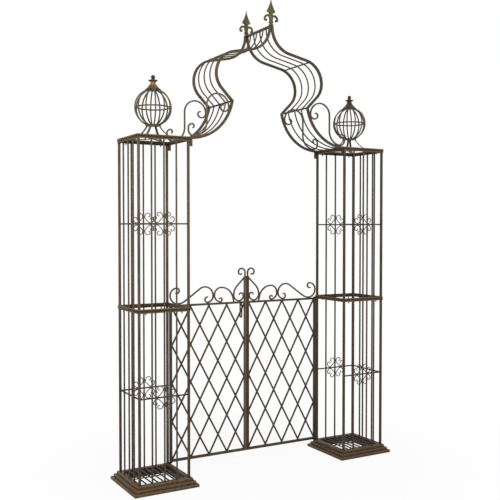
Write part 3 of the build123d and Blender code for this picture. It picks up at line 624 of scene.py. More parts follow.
def weathered_iron(name, coat, rubbed, rust, spread, marks):
    """Old iron: a dark coat with rubbed lighter streaks and edges, rust blooms and a pitted skin, with
    painted highlights and painted shade laid on by place and in corners.
    """
    material = bpy.data.materials.new(name)
    material.use_nodes = True
    nodes = Nodes(material.node_tree)
    place = nodes.add("ShaderNodeTexCoord", output="Object")
    upright = nodes.add("ShaderNodeMapping", None, {"Vector": place, "Scale": STREAK_SCALE})
    blooms = nodes.noise(place, *BLOOMS)
    grain = nodes.noise(place, *GRAIN)
    runs = nodes.noise(upright, *RUNS)
    pits = nodes.noise(place, *PITS)
    rub_mask = nodes.rise(weighted((runs, grain), EVENLY), *RUB_SPAN)
    onset = RUST_ONSET - RUST_ONSET_DROP * spread
    rust_mask = nodes.rise(weighted((blooms, grain, runs), RUST_MIX), onset, onset + RUST_FADE)
    soot_mask = nodes.rise(weighted((pits, blooms), SOOT_MIX), *SOOT_SPAN)
    # Masks by place: real wear and dirt, with painted highlights and painted shade
    wear_and_highlight, dirt_and_shade = marks(nodes, place)
    edges = nodes.rise(nodes.closeness(WEAR_REACH, True), *WEAR_SPAN) * EDGE_WEAR
    # Painted shade in the piece's own inside corners, where its surface lies near
    corners = nodes.rise(nodes.closeness(CORNER_SHADE_REACH, False), *CORNER_SHADE_SPAN) * CORNER_SHADE
    wear_and_highlight_mask = (edges | wear_and_highlight) * (WEAR_BASE + grain * WEAR_GRAIN)
    dirt_and_shade_mask = soot_mask * SOOT_SHARE | corners | dirt_and_shade
    soot_and_shade = [part * SOOT_SHADE for part in coat]
    colour = nodes.blend(rub_mask, (*coat, 1.0), (*rubbed, 1.0))
    colour = nodes.blend(rust_mask * RUST_SHARE, colour, (*rust, 1.0))
    # Darker tone over soot, real dirt and painted shade
    colour = nodes.blend(dirt_and_shade_mask, colour, (*soot_and_shade, 1.0))
    # Lighter tone over rubbed edges, real wear and painted highlights
    colour = nodes.blend(wear_and_highlight_mask, colour, (*rubbed, 1.0))
    roughness = rust_mask * RUST_ROUGHNESS - rub_mask * RUB_GLOSS + COAT_ROUGHNESS
    metallic = rub_mask * (1.0 - rust_mask) * BARE_METAL
    relief = {"Strength": PIT_STRENGTH, "Distance": PIT_DEPTH * MM}
    relief["Height"] = weighted((pits, grain), EVENLY)
    normal = nodes.add("ShaderNodeBump", None, relief)
    sockets = {"Base Color": colour, "Roughness": roughness, "Metallic": metallic, "Normal": normal}
    sockets["Specular IOR Level"] = COAT_SPECULAR
    shader = nodes.add("ShaderNodeBsdfPrincipled", None, sockets)
    nodes.add("ShaderNodeOutputMaterial", None, {"Surface": shader})
    return material


MARKS = {"gate_iron": gate_marks, "rusted_band": frame_marks, "left_cap_rust": cap_marks}
FINISHES = {}
for slot, coat in IRON_COATS.items():
    FINISHES[slot] = weathered_iron(slot, *coat, MARKS.get(slot, side_marks))
FINISHES["plinth_steps"] = weathered_iron("plinth_steps", *IRON_COATS["rusted_band"], plinth_marks)
SLOTS = {entry["node"]: entry["material_slot"] for entry in frame["record"]["subparts"]}
SLOTS["ridge_bar"] = "finial_bronze"


def body_of(node):
    for body in ("left_gate", "right_gate", "latch_loop"):
        if node.startswith(body):
            return body
    return "left_gate" if node == "latch_bracket" else "frame"


def linked(name, data):
    """Object of a mesh, light or camera, in the scene."""
    shape = bpy.data.objects.new(name, data)
    bpy.context.scene.collection.objects.link(shape)
    return shape


def place_fitting(name, mesh, body, slot, crease=CREASE, finish=None):
    """Hand over a finished mesh that rides a body."""
    mesh.shade_smooth()
    mesh.set_sharp_from_angle(angle=radians(crease))
    mesh.materials.clear()
    mesh.materials.append(FINISHES[finish or slot])
    piece = linked(name, mesh)
    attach(piece, body)
    return piece


def place_piece(name, mesh, node, crease=CREASE, finish=None):
    """Hand over a finished mesh that takes the place of a CAD node."""
    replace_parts(place_fitting(name, mesh, body_of(node), SLOTS[node], crease, finish), node)


def part_solids(work):
    """Cut apart bars that touch along an edge."""
    left = dict.fromkeys(work.faces)
    while left:
        solid = [left.popitem()[0]]
        for face in solid:
            for line in face.edges:
                for other in line.link_faces:
                    if len(line.link_faces) == 2 and other in left:
                        del left[other]
                        solid.append(other)
        bmesh.ops.split(work, geom=solid)


def ease(work, edge, steps=2):
    """Round off the arrises of a shape."""
    sharp = radians(ARRIS_ANGLE)
    arrises = [line for line in work.edges if len(line.link_faces) == 2 and line.calc_face_angle() > sharp]
    settings = {"offset_type": "OFFSET", "segments": steps, "profile": ARRIS_PROFILE, "affect": "EDGES"}
    bmesh.ops.bevel(work, geom=arrises, offset=edge * MM, clamp_overlap=True, **settings)
    bmesh.ops.triangulate(work, faces=work.faces)


def eased(node, edge, steps=2, finish=None):
    """Copy of a straight-cut CAD piece with its arrises rounded off."""
    work = bmesh.new()
    work.from_mesh(frame["nodes"][node].data)
    bmesh.ops.remove_doubles(work, verts=work.verts, dist=MERGE_GAP)
    part_solids(work)
    bmesh.ops.dissolve_limit(work, angle_limit=radians(FLAT_ANGLE), verts=work.verts, edges=work.edges)
    ease(work, edge, steps)
    mesh = bpy.data.meshes.new(node + "_eased")
    work.to_mesh(mesh)
    work.free()
    place_piece(node + "_eased", mesh, node, finish=finish)


def shape_tree(name, sizes):
    """Geometry Nodes tree with named sizes and a finish, and the wires of its inputs."""
    group = bpy.data.node_groups.new(name, "GeometryNodeTree")
    group.interface.new_socket("Geometry", in_out="OUTPUT", socket_type="NodeSocketGeometry")
    group.interface.new_socket("Geometry", in_out="INPUT", socket_type="NodeSocketGeometry")
    for size in sizes:
        group.interface.new_socket(size, in_out="INPUT", socket_type="NodeSocketFloat")
    group.interface.new_socket("Finish", in_out="INPUT", socket_type="NodeSocketMaterial")
    nodes = Nodes(group)
    entry = group.nodes.new("NodeGroupInput")
    return nodes, {socket.name: Wire(nodes, socket) for socket in entry.outputs if socket.name}


def close_tree(nodes, inputs, geometry):
    """End a tree in real geometry with its finish."""
    whole = nodes.add("GeometryNodeRealizeInstances", None, {"Geometry": geometry})
    painted = nodes.add("GeometryNodeSetMaterial", None, {"Geometry": whole, "Material": inputs["Finish"]})
    nodes.add("NodeGroupOutput", None, {"Geometry": painted})
    return nodes.tree


def bent_bar_tree():
    """Bar of a filleted section along each path of the host, thinned by its taper."""
    nodes, inputs = shape_tree("bent_bar", ("Width", "Thickness", "Corner"))
    path = nodes.add("GeometryNodeMeshToCurve", None, {"Mesh": inputs["Geometry"]})
    sides = {"Width": inputs["Width"], "Height": inputs["Thickness"]}
    section = nodes.add("GeometryNodeCurvePrimitiveQuadrilateral", None, sides)
    fillet = {"Curve": section, "Count": FILLET_STEPS, "Radius": inputs["Corner"]}
    section = nodes.add("GeometryNodeFilletCurve", {"mode": "POLY"}, fillet)
    taper = nodes.add("GeometryNodeInputNamedAttribute", {"data_type": "FLOAT"}, {"Name": "taper"})
    sweep = {"Curve": path, "Profile Curve": section, "Scale": taper, "Fill Caps": True}
    return close_tree(nodes, inputs, nodes.add("GeometryNodeCurveToMesh", None, sweep))


def weld_bead_tree():
    """Small uneven lump of weld metal at each point of the host, long in Y."""
    nodes, inputs = shape_tree("weld_beads", ("Radius", "Length"))
    ball = {"Segments": WELD_SEGMENTS, "Rings": WELD_RINGS, "Radius": inputs["Radius"]}
    lump = nodes.add("GeometryNodeMeshUVSphere", None, ball)
    stretch = nodes.add("ShaderNodeCombineXYZ", None, {"X": 1.0, "Y": inputs["Length"], "Z": 1.0})
    lump = nodes.add("GeometryNodeTransform", None, {"Geometry": lump, "Scale": stretch})
    spread = {2: WELD_SPREAD[0], 3: WELD_SPREAD[1], "Seed": WELD_SEED}
    size = nodes.add("FunctionNodeRandomValue", {"data_type": "FLOAT"}, spread, 1)
    across = nodes.add("ShaderNodeCombineXYZ", None, {"X": size, "Y": 1.0, "Z": size})
    spots = {"Points": inputs["Geometry"], "Instance": lump, "Scale": across}
    return close_tree(nodes, inputs, nodes.add("GeometryNodeInstanceOnPoints", None, spots))


def bolt_tree():
    """Bolt with head, washer, nut and tail at each point of the host."""
    nodes, inputs = shape_tree("frame_bolts", ("Bolt", "Seat", "Tail"))
    bolt = inputs["Bolt"]
    seat = inputs["Seat"]
    tail = inputs["Tail"]
    parts = []
    for sides, radius, depth, middle in (
        (HEX_SIDES, bolt * HEAD_RADIUS, bolt, seat + bolt * HEAD_MIDDLE),
        (WASHER_SIDES, bolt * WASHER_RADIUS, bolt * WASHER_THICK, seat + bolt * WASHER_MIDDLE),
        (HEX_SIDES, bolt * NUT_RADIUS, bolt * NUT_THICK, seat * -1.0 - bolt * (NUT_THICK / 2)),
        (TAIL_SIDES, bolt * TAIL_RADIUS, tail, tail * -0.5),
    ):
        sizes = {"Vertices": sides, "Radius": radius, "Depth": depth}
        part = nodes.add("GeometryNodeMeshCylinder", {"fill_type": "NGON"}, sizes)
        place = nodes.add("ShaderNodeCombineXYZ", None, {"Z": middle})
        parts.append(nodes.add("GeometryNodeTransform", None, {"Geometry": part, "Translation": place}))
    whole = nodes.add("GeometryNodeJoinGeometry", None, {"Geometry": parts})
    spots = {"Points": inputs["Geometry"], "Instance": whole}
    return close_tree(nodes, inputs, nodes.add("GeometryNodeInstanceOnPoints", None, spots))


def grown(name, tree, host, values):
    """Plain mesh that a tree makes on a host mesh."""
    shape = linked(name, host)
    modifier = shape.modifiers.new(name, "NODES")
    modifier.node_group = tree
    for socket in tree.interface.items_tree:
        if socket.in_out == "INPUT" and socket.name in values:
            modifier[socket.identifier] = values[socket.name]
    graph = bpy.context.evaluated_depsgraph_get()
    mesh = bpy.data.meshes.new_from_object(shape.evaluated_get(graph))
    shape.modifiers.remove(modifier)
    bpy.data.objects.remove(shape)
    return mesh


def point_mesh(name, places):
    host = bpy.data.meshes.new(name)
    host.from_pydata([Vector(place) * MM for place in places], [], [])
    return host


class Paths:
    """Host mesh of bar centre lines, gathered path by path."""

    def __init__(self):
        self.points = []
        self.lines = []
        self.tapers = []

    def add(self, points, tapers=None, closed=False):
        first = len(self.points)
        count = len(points)
        self.points += [Vector(point) * MM for point in points]
        self.lines += [(first + index, first + (index + 1) % count) for index in range(count - 1 + closed)]
        self.tapers += tapers or [1.0] * count

    def add_upright(self, points, y, tapers=None):
        """Path drawn in X and Z, on the plane at y."""
        self.add([(point.x, y, point.y) for point in points], tapers)

    def bars(self, name, node, width, thickness, corner):
        """Mesh of bars along the paths, in the finish of a CAD node."""
        host = bpy.data.meshes.new(name + "_paths")
        host.from_pydata(self.points, self.lines, [])
        host.attributes.new("taper", "FLOAT", "POINT").data.foreach_set("value", self.tapers)
        values = {"Width": width * MM, "Thickness": thickness * MM, "Corner": corner * MM}
        values["Finish"] = FINISHES[SLOTS[node]]
        return grown(name, BENT_BAR, host, values)

    def swept(self, name, node, width, thickness, corner):
        place_piece(name, self.bars(name, node, width, thickness, corner), node, BAR_CREASE)


BENT_BAR = bent_bar_tree()
WELD_BEAD = weld_bead_tree()


def weld(name, body, slot, places, bar):
    """Weld beads on one body, across bars of one thickness."""
    reach = (bar / 2 + WELD_OVERHANG) / WELD_RADIUS
    values = {"Radius": WELD_RADIUS * MM, "Length": reach, "Finish": FINISHES[slot]}
    place_fitting(name, grown(name, WELD_BEAD, point_mesh(name + "_places", places), values), body, slot)


def ornaments(side, name):
    """C scrolls in fours round each crossing on a tower's front and back, welded to the bars."""
    shoulder = [straight(ORNAMENT_SPINE / 2), bend(ORNAMENT_SHOULDER_RADIUS, -45)]
    arm = [
        straight(ORNAMENT_SPINE / 2),
        bend(ORNAMENT_SHOULDER_RADIUS, -135),
        bend(ORNAMENT_CURL_RADIUS, -ORNAMENT_CURL_TURN),
        bend(ORNAMENT_EYE_RADIUS, -ORNAMENT_EYE_TURN),
    ]
    other_arm = [(kind, size, -turn) for kind, size, turn in arm]
    closest = max(THIN_BAR, CROSSBAR) / 2 + SEAT_GAP + ORNAMENT_WIRE / 2
    inset = sin(radians(45)) * (ORNAMENT_SPINE / 2 - ORNAMENT_SHOULDER_RADIUS) + ORNAMENT_SHOULDER_RADIUS
    spine = Vector((closest + inset, closest + inset))
    scroll = both_ways(spine, 135, other_arm, arm)
    tapers = drawn_out(scroll, True, True)
    along = trace(spine, 135, shoulder)[-1].y
    seams = [Vector((THIN_BAR / 2, along)), Vector((along, CROSSBAR / 2))]
    paths = Paths()
    beads = []
    for z in CROSSBAR_HEIGHTS:
        middle = Vector((side * TOWER_X, z))
        for angle in QUARTERS:
            turn = Matrix.Rotation(radians(angle), 2)
            for y in (-BAR_PLANE, BAR_PLANE):
                paths.add_upright([turn @ point + middle for point in scroll], y, tapers)
                for seam in seams:
                    spot = turn @ seam + middle
                    beads.append((spot.x, y, spot.y))
    paths.swept(name + "_scroll_fours", name + "_ornaments", ORNAMENT_WIRE, ORNAMENT_WIRE, ORNAMENT_CORNER)
    weld(name + "_scroll_welds", "frame", "scroll_iron", beads, ORNAMENT_WIRE)


def arch_slats():
    """Thin bars between the rails, from foot to cusp and from cusp to ridge."""
    cusp = trace(ARCH_FOOT, 180, [bend(BRACKET_RADIUS, -BRACKET_SWEEP)])[-1]
    stop = CUSP_BAR_RADIUS + SEAT_GAP
    sweep = BRACKET_SWEEP - degrees(stop / BRACKET_RADIUS)
    low_start = ARCH_FOOT + Vector((0, SLAT_SHIFT))
    low = trace(low_start, 180, beside([bend(BRACKET_RADIUS, -sweep)], SLAT_SHIFT))
    lower = [straight(RUN_LENGTH), bend(BULGE_LOWER_RADIUS, 90 - RUN_HEADING)]
    widest = trace(cusp, RUN_HEADING, lower)[-1]
    apart = APEX + Vector((OGEE_RADIUS, 0)) - (widest - Vector((BULGE_UPPER_RADIUS, 0)))
    radii = BULGE_UPPER_RADIUS + OGEE_RADIUS
    turn = degrees(atan2(apart.y, apart.x)) - degrees(acos(radii / apart.length))
    shoulder = sqrt(apart.length**2 - radii**2)
    moves = [
        straight(RUN_LENGTH - stop),
        bend(BULGE_LOWER_RADIUS, 90 - RUN_HEADING),
        bend(BULGE_UPPER_RADIUS, turn),
        straight(shoulder),
        bend(OGEE_RADIUS, -turn),
    ]
    high_start = cusp + unit(RUN_HEADING) * stop + unit(RUN_HEADING - 90) * SLAT_SHIFT
    high = trace(high_start, RUN_HEADING, beside(moves, SLAT_SHIFT))
    paths = Paths()
    for y in SLAT_PLACES:
        for line in (low, high, flipped(low), flipped(high)):
            paths.add_upright(line, y)
    paths.swept("arch_slat_bars", "arch_slats", SLAT, SLAT, SLAT_CORNER)


def corner_scrolls():
    """Large scrolls over the arch's brackets, front and back, welded where they touch them."""
    seam = BRACKET_RADIUS - RAIL / 2
    reach = seam - SEAT_GAP - SCROLL_BAR / 2
    curl_centre = BRACKET_CENTRE + unit(SCROLL_TOUCH) * (reach - SCROLL_CURL_RADIUS)
    anchor = curl_centre - Vector((SCROLL_CURL_RADIUS, 0))
    heel_x = anchor.x + 2 * SCROLL_CROWN_RADIUS + SCROLL_HEEL_RADIUS
    drop = sqrt((reach - SCROLL_HEEL_RADIUS) ** 2 - (heel_x - BRACKET_CENTRE.x) ** 2)
    heel = Vector((heel_x - BRACKET_CENTRE.x, -drop)).normalized()
    forward = [
        bend(SCROLL_CROWN_RADIUS, -180),
        straight(anchor.y - (BRACKET_CENTRE.y - drop)),
        bend(SCROLL_HEEL_RADIUS, 90),
        bend(SCROLL_FOOT_RADIUS, 90),
        straight(SCROLL_FOOT_RISE),
        bend(SCROLL_FOOT_TOP_RADIUS, 90),
        bend(SCROLL_FOOT_CURL_RADIUS, SCROLL_FOOT_CURL_TURN),
    ]
    curl = [bend(SCROLL_CURL_RADIUS, SCROLL_CURL_TURN), bend(SCROLL_EYE_RADIUS, SCROLL_EYE_TURN)]
    scroll = both_ways(anchor, 90, curl, forward)
    tapers = drawn_out(scroll, True, True)
    seams = [BRACKET_CENTRE + unit(SCROLL_TOUCH) * seam, BRACKET_CENTRE + heel * seam]
    paths = Paths()
    beads = []
    for line, spots in ((scroll, seams), (flipped(scroll), flipped(seams))):
        for y in (-HALF_PITCH, HALF_PITCH):
            paths.add_upright(line, y, tapers)
            beads += [(spot.x, y, spot.y) for spot in spots]
    paths.swept("arch_corner_scrolls", "arch_scrolls", SCROLL_BAR, SCROLL_BAR, SCROLL_CORNER)
    weld("arch_scroll_welds", "frame", "scroll_iron", beads, SCROLL_BAR)


def swan_scroll():
    """Long S scroll from over the hinge, the side it turns to the hook, and its seams on the rail."""
    heel = Vector((HINGE_X + (STILE - CREST_BAR) / 2 - SWAN_HEEL_RADIUS, CREST_LINE))
    rise = SWAN_CROWN_RADIUS + SWAN_BREAST_RADIUS
    rise -= (SWAN_SWEEP_RADIUS + SWAN_CROWN_RADIUS) * (1 - cos(radians(SWAN_SLOPE)))
    crown = [
        bend(SWAN_SWEEP_RADIUS, -SWAN_SLOPE),
        straight(rise / sin(radians(SWAN_SLOPE))),
        bend(SWAN_CROWN_RADIUS, SWAN_SLOPE + 90),
    ]
    breast = crown + [bend(SWAN_BREAST_RADIUS, 90)]
    tail = [
        bend(SWAN_HEEL_RADIUS, 90),
        bend(SWAN_BACK_RADIUS, 90),
        bend(SWAN_EYE_RADIUS, SWAN_EYE_TURN),
    ]
    line = both_ways(heel, 180, tail, breast + [bend(SWAN_END_RADIUS, SWAN_END_TURN)])
    seams = [Vector((spot.x, GATE_TOP)) for spot in (heel, trace(heel, 180, breast)[-1])]
    return line, trace(heel, 180, crown)[-1].x, seams


def hook_scroll(swan_side):
    """Hook from a foot on the rail to a crown beside the S scroll, and its seams."""
    lean = radians(HOOK_HEADING)
    rise = HOOK_CROWN_RADIUS + HOOK_BREAST_RADIUS - HOOK_NECK_RADIUS * (1 - cos(lean))
    neck = (rise + CREST_LINE - GATE_TOP) / sin(lean)
    reach = HOOK_NECK_RADIUS * sin(lean) + HOOK_CROWN_RADIUS + neck * cos(lean)
    foot = Vector((swan_side - CREST_BAR - SEAT_GAP - reach, GATE_TOP))
    breast = [
        straight(neck),
        bend(HOOK_NECK_RADIUS, -HOOK_HEADING),
        bend(HOOK_CROWN_RADIUS, -90),
        bend(HOOK_BREAST_RADIUS, -90),
    ]
    line = trace(foot, HOOK_HEADING, breast + [bend(HOOK_END_RADIUS, -HOOK_END_TURN)])
    low = trace(foot, HOOK_HEADING, breast)[-1]
    side = Vector((swan_side - (CREST_BAR + SEAT_GAP) / 2, CREST_LINE + HOOK_BREAST_RADIUS))
    return line, [foot, Vector((low.x, GATE_TOP)), side]


def lyre_scroll():
    """Half of the lyre, from the meeting stile to the rail and back, and its seams."""
    low = Vector((LEAF_INNER + SEAT_GAP + CREST_BAR / 2 + LYRE_CURL_RADIUS, CREST_LINE))
    rising = [bend(LYRE_BELLY_RADIUS, 90), bend(LYRE_SHOULDER_RADIUS, LYRE_SHOULDER_TURN)]
    shoulder = trace(low, 0, rising)[-1]
    heading = 90 + LYRE_SHOULDER_TURN
    to_stile = (LEAF_INNER - shoulder.x) / cos(radians(heading))
    curl = [
        bend(LYRE_CURL_RADIUS, -90),
        bend(LYRE_BACK_RADIUS, -90),
        bend(LYRE_END_RADIUS, -LYRE_END_TURN),
    ]
    line = both_ways(low, 0, curl, rising + [straight(to_stile)])
    seams = [Vector((low.x, GATE_TOP)), Vector((LEAF_INNER, CREST_LINE + LYRE_CURL_RADIUS)), line[-1]]
    return line, seams


def plume_scroll():
    """Curl on top of the meeting stile."""
    moves = [
        straight(PLUME_RISE),
        bend(PLUME_RADIUS, -90),
        bend(PLUME_CROWN_RADIUS, -90),
        bend(PLUME_CURL_RADIUS, -90),
        bend(PLUME_END_RADIUS, -PLUME_END_TURN),
    ]
    return trace(Vector((LEAF_INNER - STILE / 2, STILE_TOP)), 90, moves)


def gate_crest(gate, flip):
    """Scrollwork on one leaf's top rail, with its weld beads."""
    swan, swan_side, swan_seams = swan_scroll()
    hook, hook_seams = hook_scroll(swan_side)
    lyre, lyre_seams = lyre_scroll()
    plume = plume_scroll()
    seams = swan_seams + hook_seams + lyre_seams + [plume[0]]
    scrolls = [(swan, True, True), (hook, False, True), (lyre, True, False), (plume, False, True)]
    paths = Paths()
    for line, first, last in scrolls:
        paths.add_upright(flipped(line) if flip else line, GATE_Y, drawn_out(line, first, last))
    paths.swept(gate + "_crest_scrolls", gate + "_crest", CREST_BAR, CREST_BAR, SCROLL_CORNER)
    beads = [(spot.x, GATE_Y, spot.y) for spot in (flipped(seams) if flip else seams)]
    weld(gate + "_crest_welds", gate, "gate_iron", beads, CREST_BAR)


def around(x, points, angle):
    """Points drawn in radius and height, turned about a tower's axis at x."""
    turn = radians(angle)
    return [(x + point.x * cos(turn), point.x * sin(turn), point.y) for point in points]


def orb_cage(side, name):
    """Ribs, hoop and flared legs of one orb."""
    x = side * TOWER_X
    reach = degrees(acos(ORB_NECK_RADIUS / ORB_RADIUS))
    start = Vector((0, ORB_Z)) + unit(-reach) * ORB_RADIUS
    rib = trace(start, 90 - reach, [bend(ORB_RADIUS, 2 * reach)])
    ribs = Paths()
    for index in range(ORB_RIBS):
        ribs.add(around(x, rib, (index + 0.5) * 360 / ORB_RIBS))
    ribs.swept(name + "_orb_rib_wires", name + "_orb_ribs", ORB_WIRE, ORB_WIRE, ORB_CORNER)

    hoop_radius = ORB_RADIUS - ORB_WIRE - SEAT_GAP
    equator = [Vector((hoop_radius, ORB_Z))]
    steps = round(360 / BEND_STEP)
    hoop = Paths()
    hoop.add([around(x, equator, step * BEND_STEP)[0] for step in range(steps)], closed=True)
    hoop.swept(name + "_orb_hoop_wire", name + "_orb_hoop", ORB_WIRE, ORB_WIRE, ORB_CORNER)

    foot = Vector((ORB_FOOT_RADIUS, CROSS_TOP + ORB_LEG_THICK / 2))
    top = Vector((ORB_LEG_TOP_RADIUS, DISC_Z))
    chord = top - foot
    heading = degrees(atan2(chord.y, chord.x)) + ORB_LEG_FLARE / 2
    radius = chord.length / (2 * sin(radians(ORB_LEG_FLARE / 2)))
    leg = trace(foot, heading, [bend(radius, -ORB_LEG_FLARE)])
    legs = Paths()
    for angle in QUARTERS:
        legs.add(around(x, leg, angle + ORB_LEG_TURN))
    legs.swept(name + "_orb_leg_straps", name + "_orb_legs", ORB_LEG_WIDTH, ORB_LEG_THICK, ORB_LEG_CORNER)


def skin(work, rings):
    """Add the faces between rings of corners, of which any may be a single point."""
    for low, high in zip(rings, rings[1:]):
        count = max(len(low), len(high))
        for index in range(count):
            following = (index + 1) % count
            corners = [low[index % len(low)], low[following % len(low)]]
            corners += [high[following % len(high)], high[index % len(high)]]
            work.faces.new(dict.fromkeys(corners))


def turn_on(work, x, y, base, profile):
    """Add a shape turned from a profile of radius and height, closed at both ends."""
    rings = []
    for radius, z in profile:
        ring = []
        for index in range(TURNED_SEGMENTS if radius else 1):
            angle = 2 * pi * index / TURNED_SEGMENTS
            place = Vector((x + radius * cos(angle), y + radius * sin(angle), base + z))
            ring.append(work.verts.new(place * MM))
        rings.append(ring)
    skin(work, rings)


def place_work(name, work, node):
    """Hand over a shape built face by face in place of a CAD node."""
    bmesh.ops.recalc_face_normals(work, faces=work.faces)
    mesh = bpy.data.meshes.new(name)
    work.to_mesh(mesh)
    work.free()
    place_piece(name, mesh, node)


def turned(name, x, base, profile, node):
    work = bmesh.new()
    turn_on(work, x, 0, base, profile)
    place_work(name, work, node)


def orb_disc(side, name):
    """Disc with a rounded edge under an orb."""
    edge = DISC_THICK / 2
    profile = [(0, 0)] + rounded(DISC_RADIUS - edge, edge, edge, -90, 90) + [(0, DISC_THICK)]
    turned(name + "_orb_turned_disc", side * TOWER_X, DISC_Z, profile, name + "_orb_disc")


def orb_cap(side, name):
    """Turned cap on an orb: coved cone, beaded waist, flange, coved neck and ball."""
    edge = CAP_RIM / 2
    brim = CAP_FLANGE_THICK / 2
    waist_radius, waist_z = CAP_WAIST
    flange_radius, flange_z = CAP_FLANGE
    neck_radius, neck_z = CAP_NECK
    ball_z = neck_z + sqrt(CAP_BALL_RADIUS**2 - neck_radius**2)
    ball_start = degrees(atan2(neck_z - ball_z, neck_radius))
    cap = [(0, 0)] + rounded(DISC_RADIUS - edge, edge, edge, -90, 90)
    waist = (waist_radius, waist_z - CAP_WAIST_BEAD)
    cap += bowed((DISC_RADIUS - edge, CAP_RIM), waist, -CAP_COVE, CAP_COVE_STEPS)
    cap += rounded(waist_radius, waist_z, CAP_WAIST_BEAD, -CAP_BEAD_ARC, CAP_BEAD_ARC)
    cap += bowed((waist_radius, waist_z + CAP_WAIST_BEAD), (flange_radius - brim, flange_z), -CAP_FLARE_COVE)
    cap += rounded(flange_radius - brim, flange_z + brim, brim, CAP_FLANGE_START, 90)
    brow = (flange_radius - brim, flange_z + CAP_FLANGE_THICK)
    cap += bowed(brow, (neck_radius, neck_z - CAP_NECK_BEAD), -CAP_NECK_COVE)
    cap += rounded(neck_radius, neck_z, CAP_NECK_BEAD, -CAP_BEAD_ARC, CAP_BEAD_ARC)
    ball = (ball_start + CAP_BALL_STEP, 90 - CAP_BALL_STEP, CAP_BALL_STEPS)
    cap += rounded(0, ball_z, CAP_BALL_RADIUS, *ball) + [(0, ball_z + CAP_BALL_RADIUS)]
    turned(name + "_orb_turned_cap", side * TOWER_X, CAP_Z, cap, name + "_orb_cap")


def finial_stem():
    """Profile of a cast spear's stem: base, collar, knop under the arms and ring under the blade."""
    base = FINIAL_BASE_ROUND
    stem = FINIAL_STEM_RADIUS
    collar = FINIAL_COLLAR_ROUND
    collar_low = FINIAL_COLLAR_Z - collar
    collar_high = FINIAL_COLLAR_Z + collar
    knop_radius, knop_z = FINIAL_KNOP
    knop_low = knop_z - FINIAL_KNOP_RUN
    knop_high = knop_z + FINIAL_KNOP_RUN
    ring_radius, ring_z = FINIAL_RING
    profile = [(0, 0)] + rounded(FINIAL_BASE_RADIUS - base, base, base, -90, 90)
    profile += bowed((FINIAL_BASE_RADIUS - base, 2 * base), (stem, collar_low), -FINIAL_BASE_COVE)
    collar_arc = (-FINIAL_COLLAR_ARC, FINIAL_COLLAR_ARC)
    profile += rounded(FINIAL_COLLAR_RADIUS - collar, FINIAL_COLLAR_Z, collar, *collar_arc)
    profile += [Vector((stem, collar_high)), Vector((stem, knop_low))]
    profile += bowed((stem, knop_low), (stem, knop_high), knop_radius - stem, FINIAL_KNOP_STEPS)
    profile += [Vector((stem, ring_z - FINIAL_RING_ROUND))]
    profile += rounded(ring_radius, ring_z, FINIAL_RING_ROUND, -FINIAL_RING_ARC, FINIAL_RING_ARC)
    return profile + [Vector((stem, BLADE_BARB[0])), (0, BLADE_BARB[0])]


def blade_sections():
    """Heights, widths and depths of a spear's blade: round shoulders, then a hollow taper to the tip."""
    foot_z, foot_width, foot_depth = BLADE_FOOT
    barb_z, barb_width, barb_depth = BLADE_BARB
    tip_z, tip_width, tip_depth = BLADE_TIP
    width_taper, depth_taper = BLADE_TAPER
    sections = []
    for angle in BLADE_SHOULDER:
        share = sin(radians(angle))
        rise = 1 - cos(radians(angle))
        width = foot_width + (barb_width - foot_width) * share
        depth = foot_depth + (barb_depth - foot_depth) * share
        sections.append((foot_z + (barb_z - foot_z) * rise, width, depth))
    for step in range(BLADE_STEPS + 1):
        left = 1 - step / BLADE_STEPS
        width = tip_width + (barb_width - tip_width) * left**width_taper
        depth = tip_depth + (barb_depth - tip_depth) * left**depth_taper
        sections.append((tip_z - (tip_z - barb_z) * left, width, depth))
    return sections


def add_blade(work, y):
    """Blade with a flat ridge on its front and back and sharp edges at its sides."""
    rings = []
    for z, width, depth in blade_sections():
        flat = width * BLADE_FLAT
        half = [(width / 2, 0), (flat, depth / 2), (-flat, depth / 2)]
        corners = half + [(-across, -deep) for across, deep in half]
        places = [Vector((across, y + deep, RIDGE_Z + z)) * MM for across, deep in corners]
        rings.append([work.verts.new(place) for place in places])
    skin(work, rings)
    work.faces.new(rings[0])
    work.faces.new(rings[-1])


def link_outline():
    """Points round the latch link: outside and slot, each in X and Z."""
    pin = Vector((-LATCH_X, LATCH_PIN_Z))
    low = pin - Vector((0, LINK_CENTRES))
    turns = [180 * step / LINK_STEPS for step in range(LINK_STEPS + 1)]
    pairs = [(pin + unit(turn) * LINK_HALF, pin + unit(turn) * LINK_EYE) for turn in turns]
    left = [(pin + Vector((-LINK_HALF, -drop)), pin + Vector((-half, -drop))) for drop, half in LINK_NECK]
    right = [(pin + Vector((LINK_HALF, -drop)), pin + Vector((half, -drop))) for drop, half in LINK_NECK]
    foot = [(low - unit(turn) * LINK_HALF, low - unit(turn) * LINK_SLOT) for turn in turns]
    return pairs + left + foot + right[::-1]


def latch_link():
    """Flat link that hangs from the latch pin."""
    work = bmesh.new()
    rings = []
    for outside, slot in link_outline():
        corners = ((outside, -1), (outside, 1), (slot, 1), (slot, -1))
        places = [Vector((point.x, LINK_Y + side * LINK_DEPTH / 2, point.y)) * MM for point, side in corners]
        rings.append([work.verts.new(place) for place in places])
    skin(work, rings + rings[:1])
    ease(work, LATCH_ARRIS)
    place_work("latch_flat_link", work, "latch_loop")


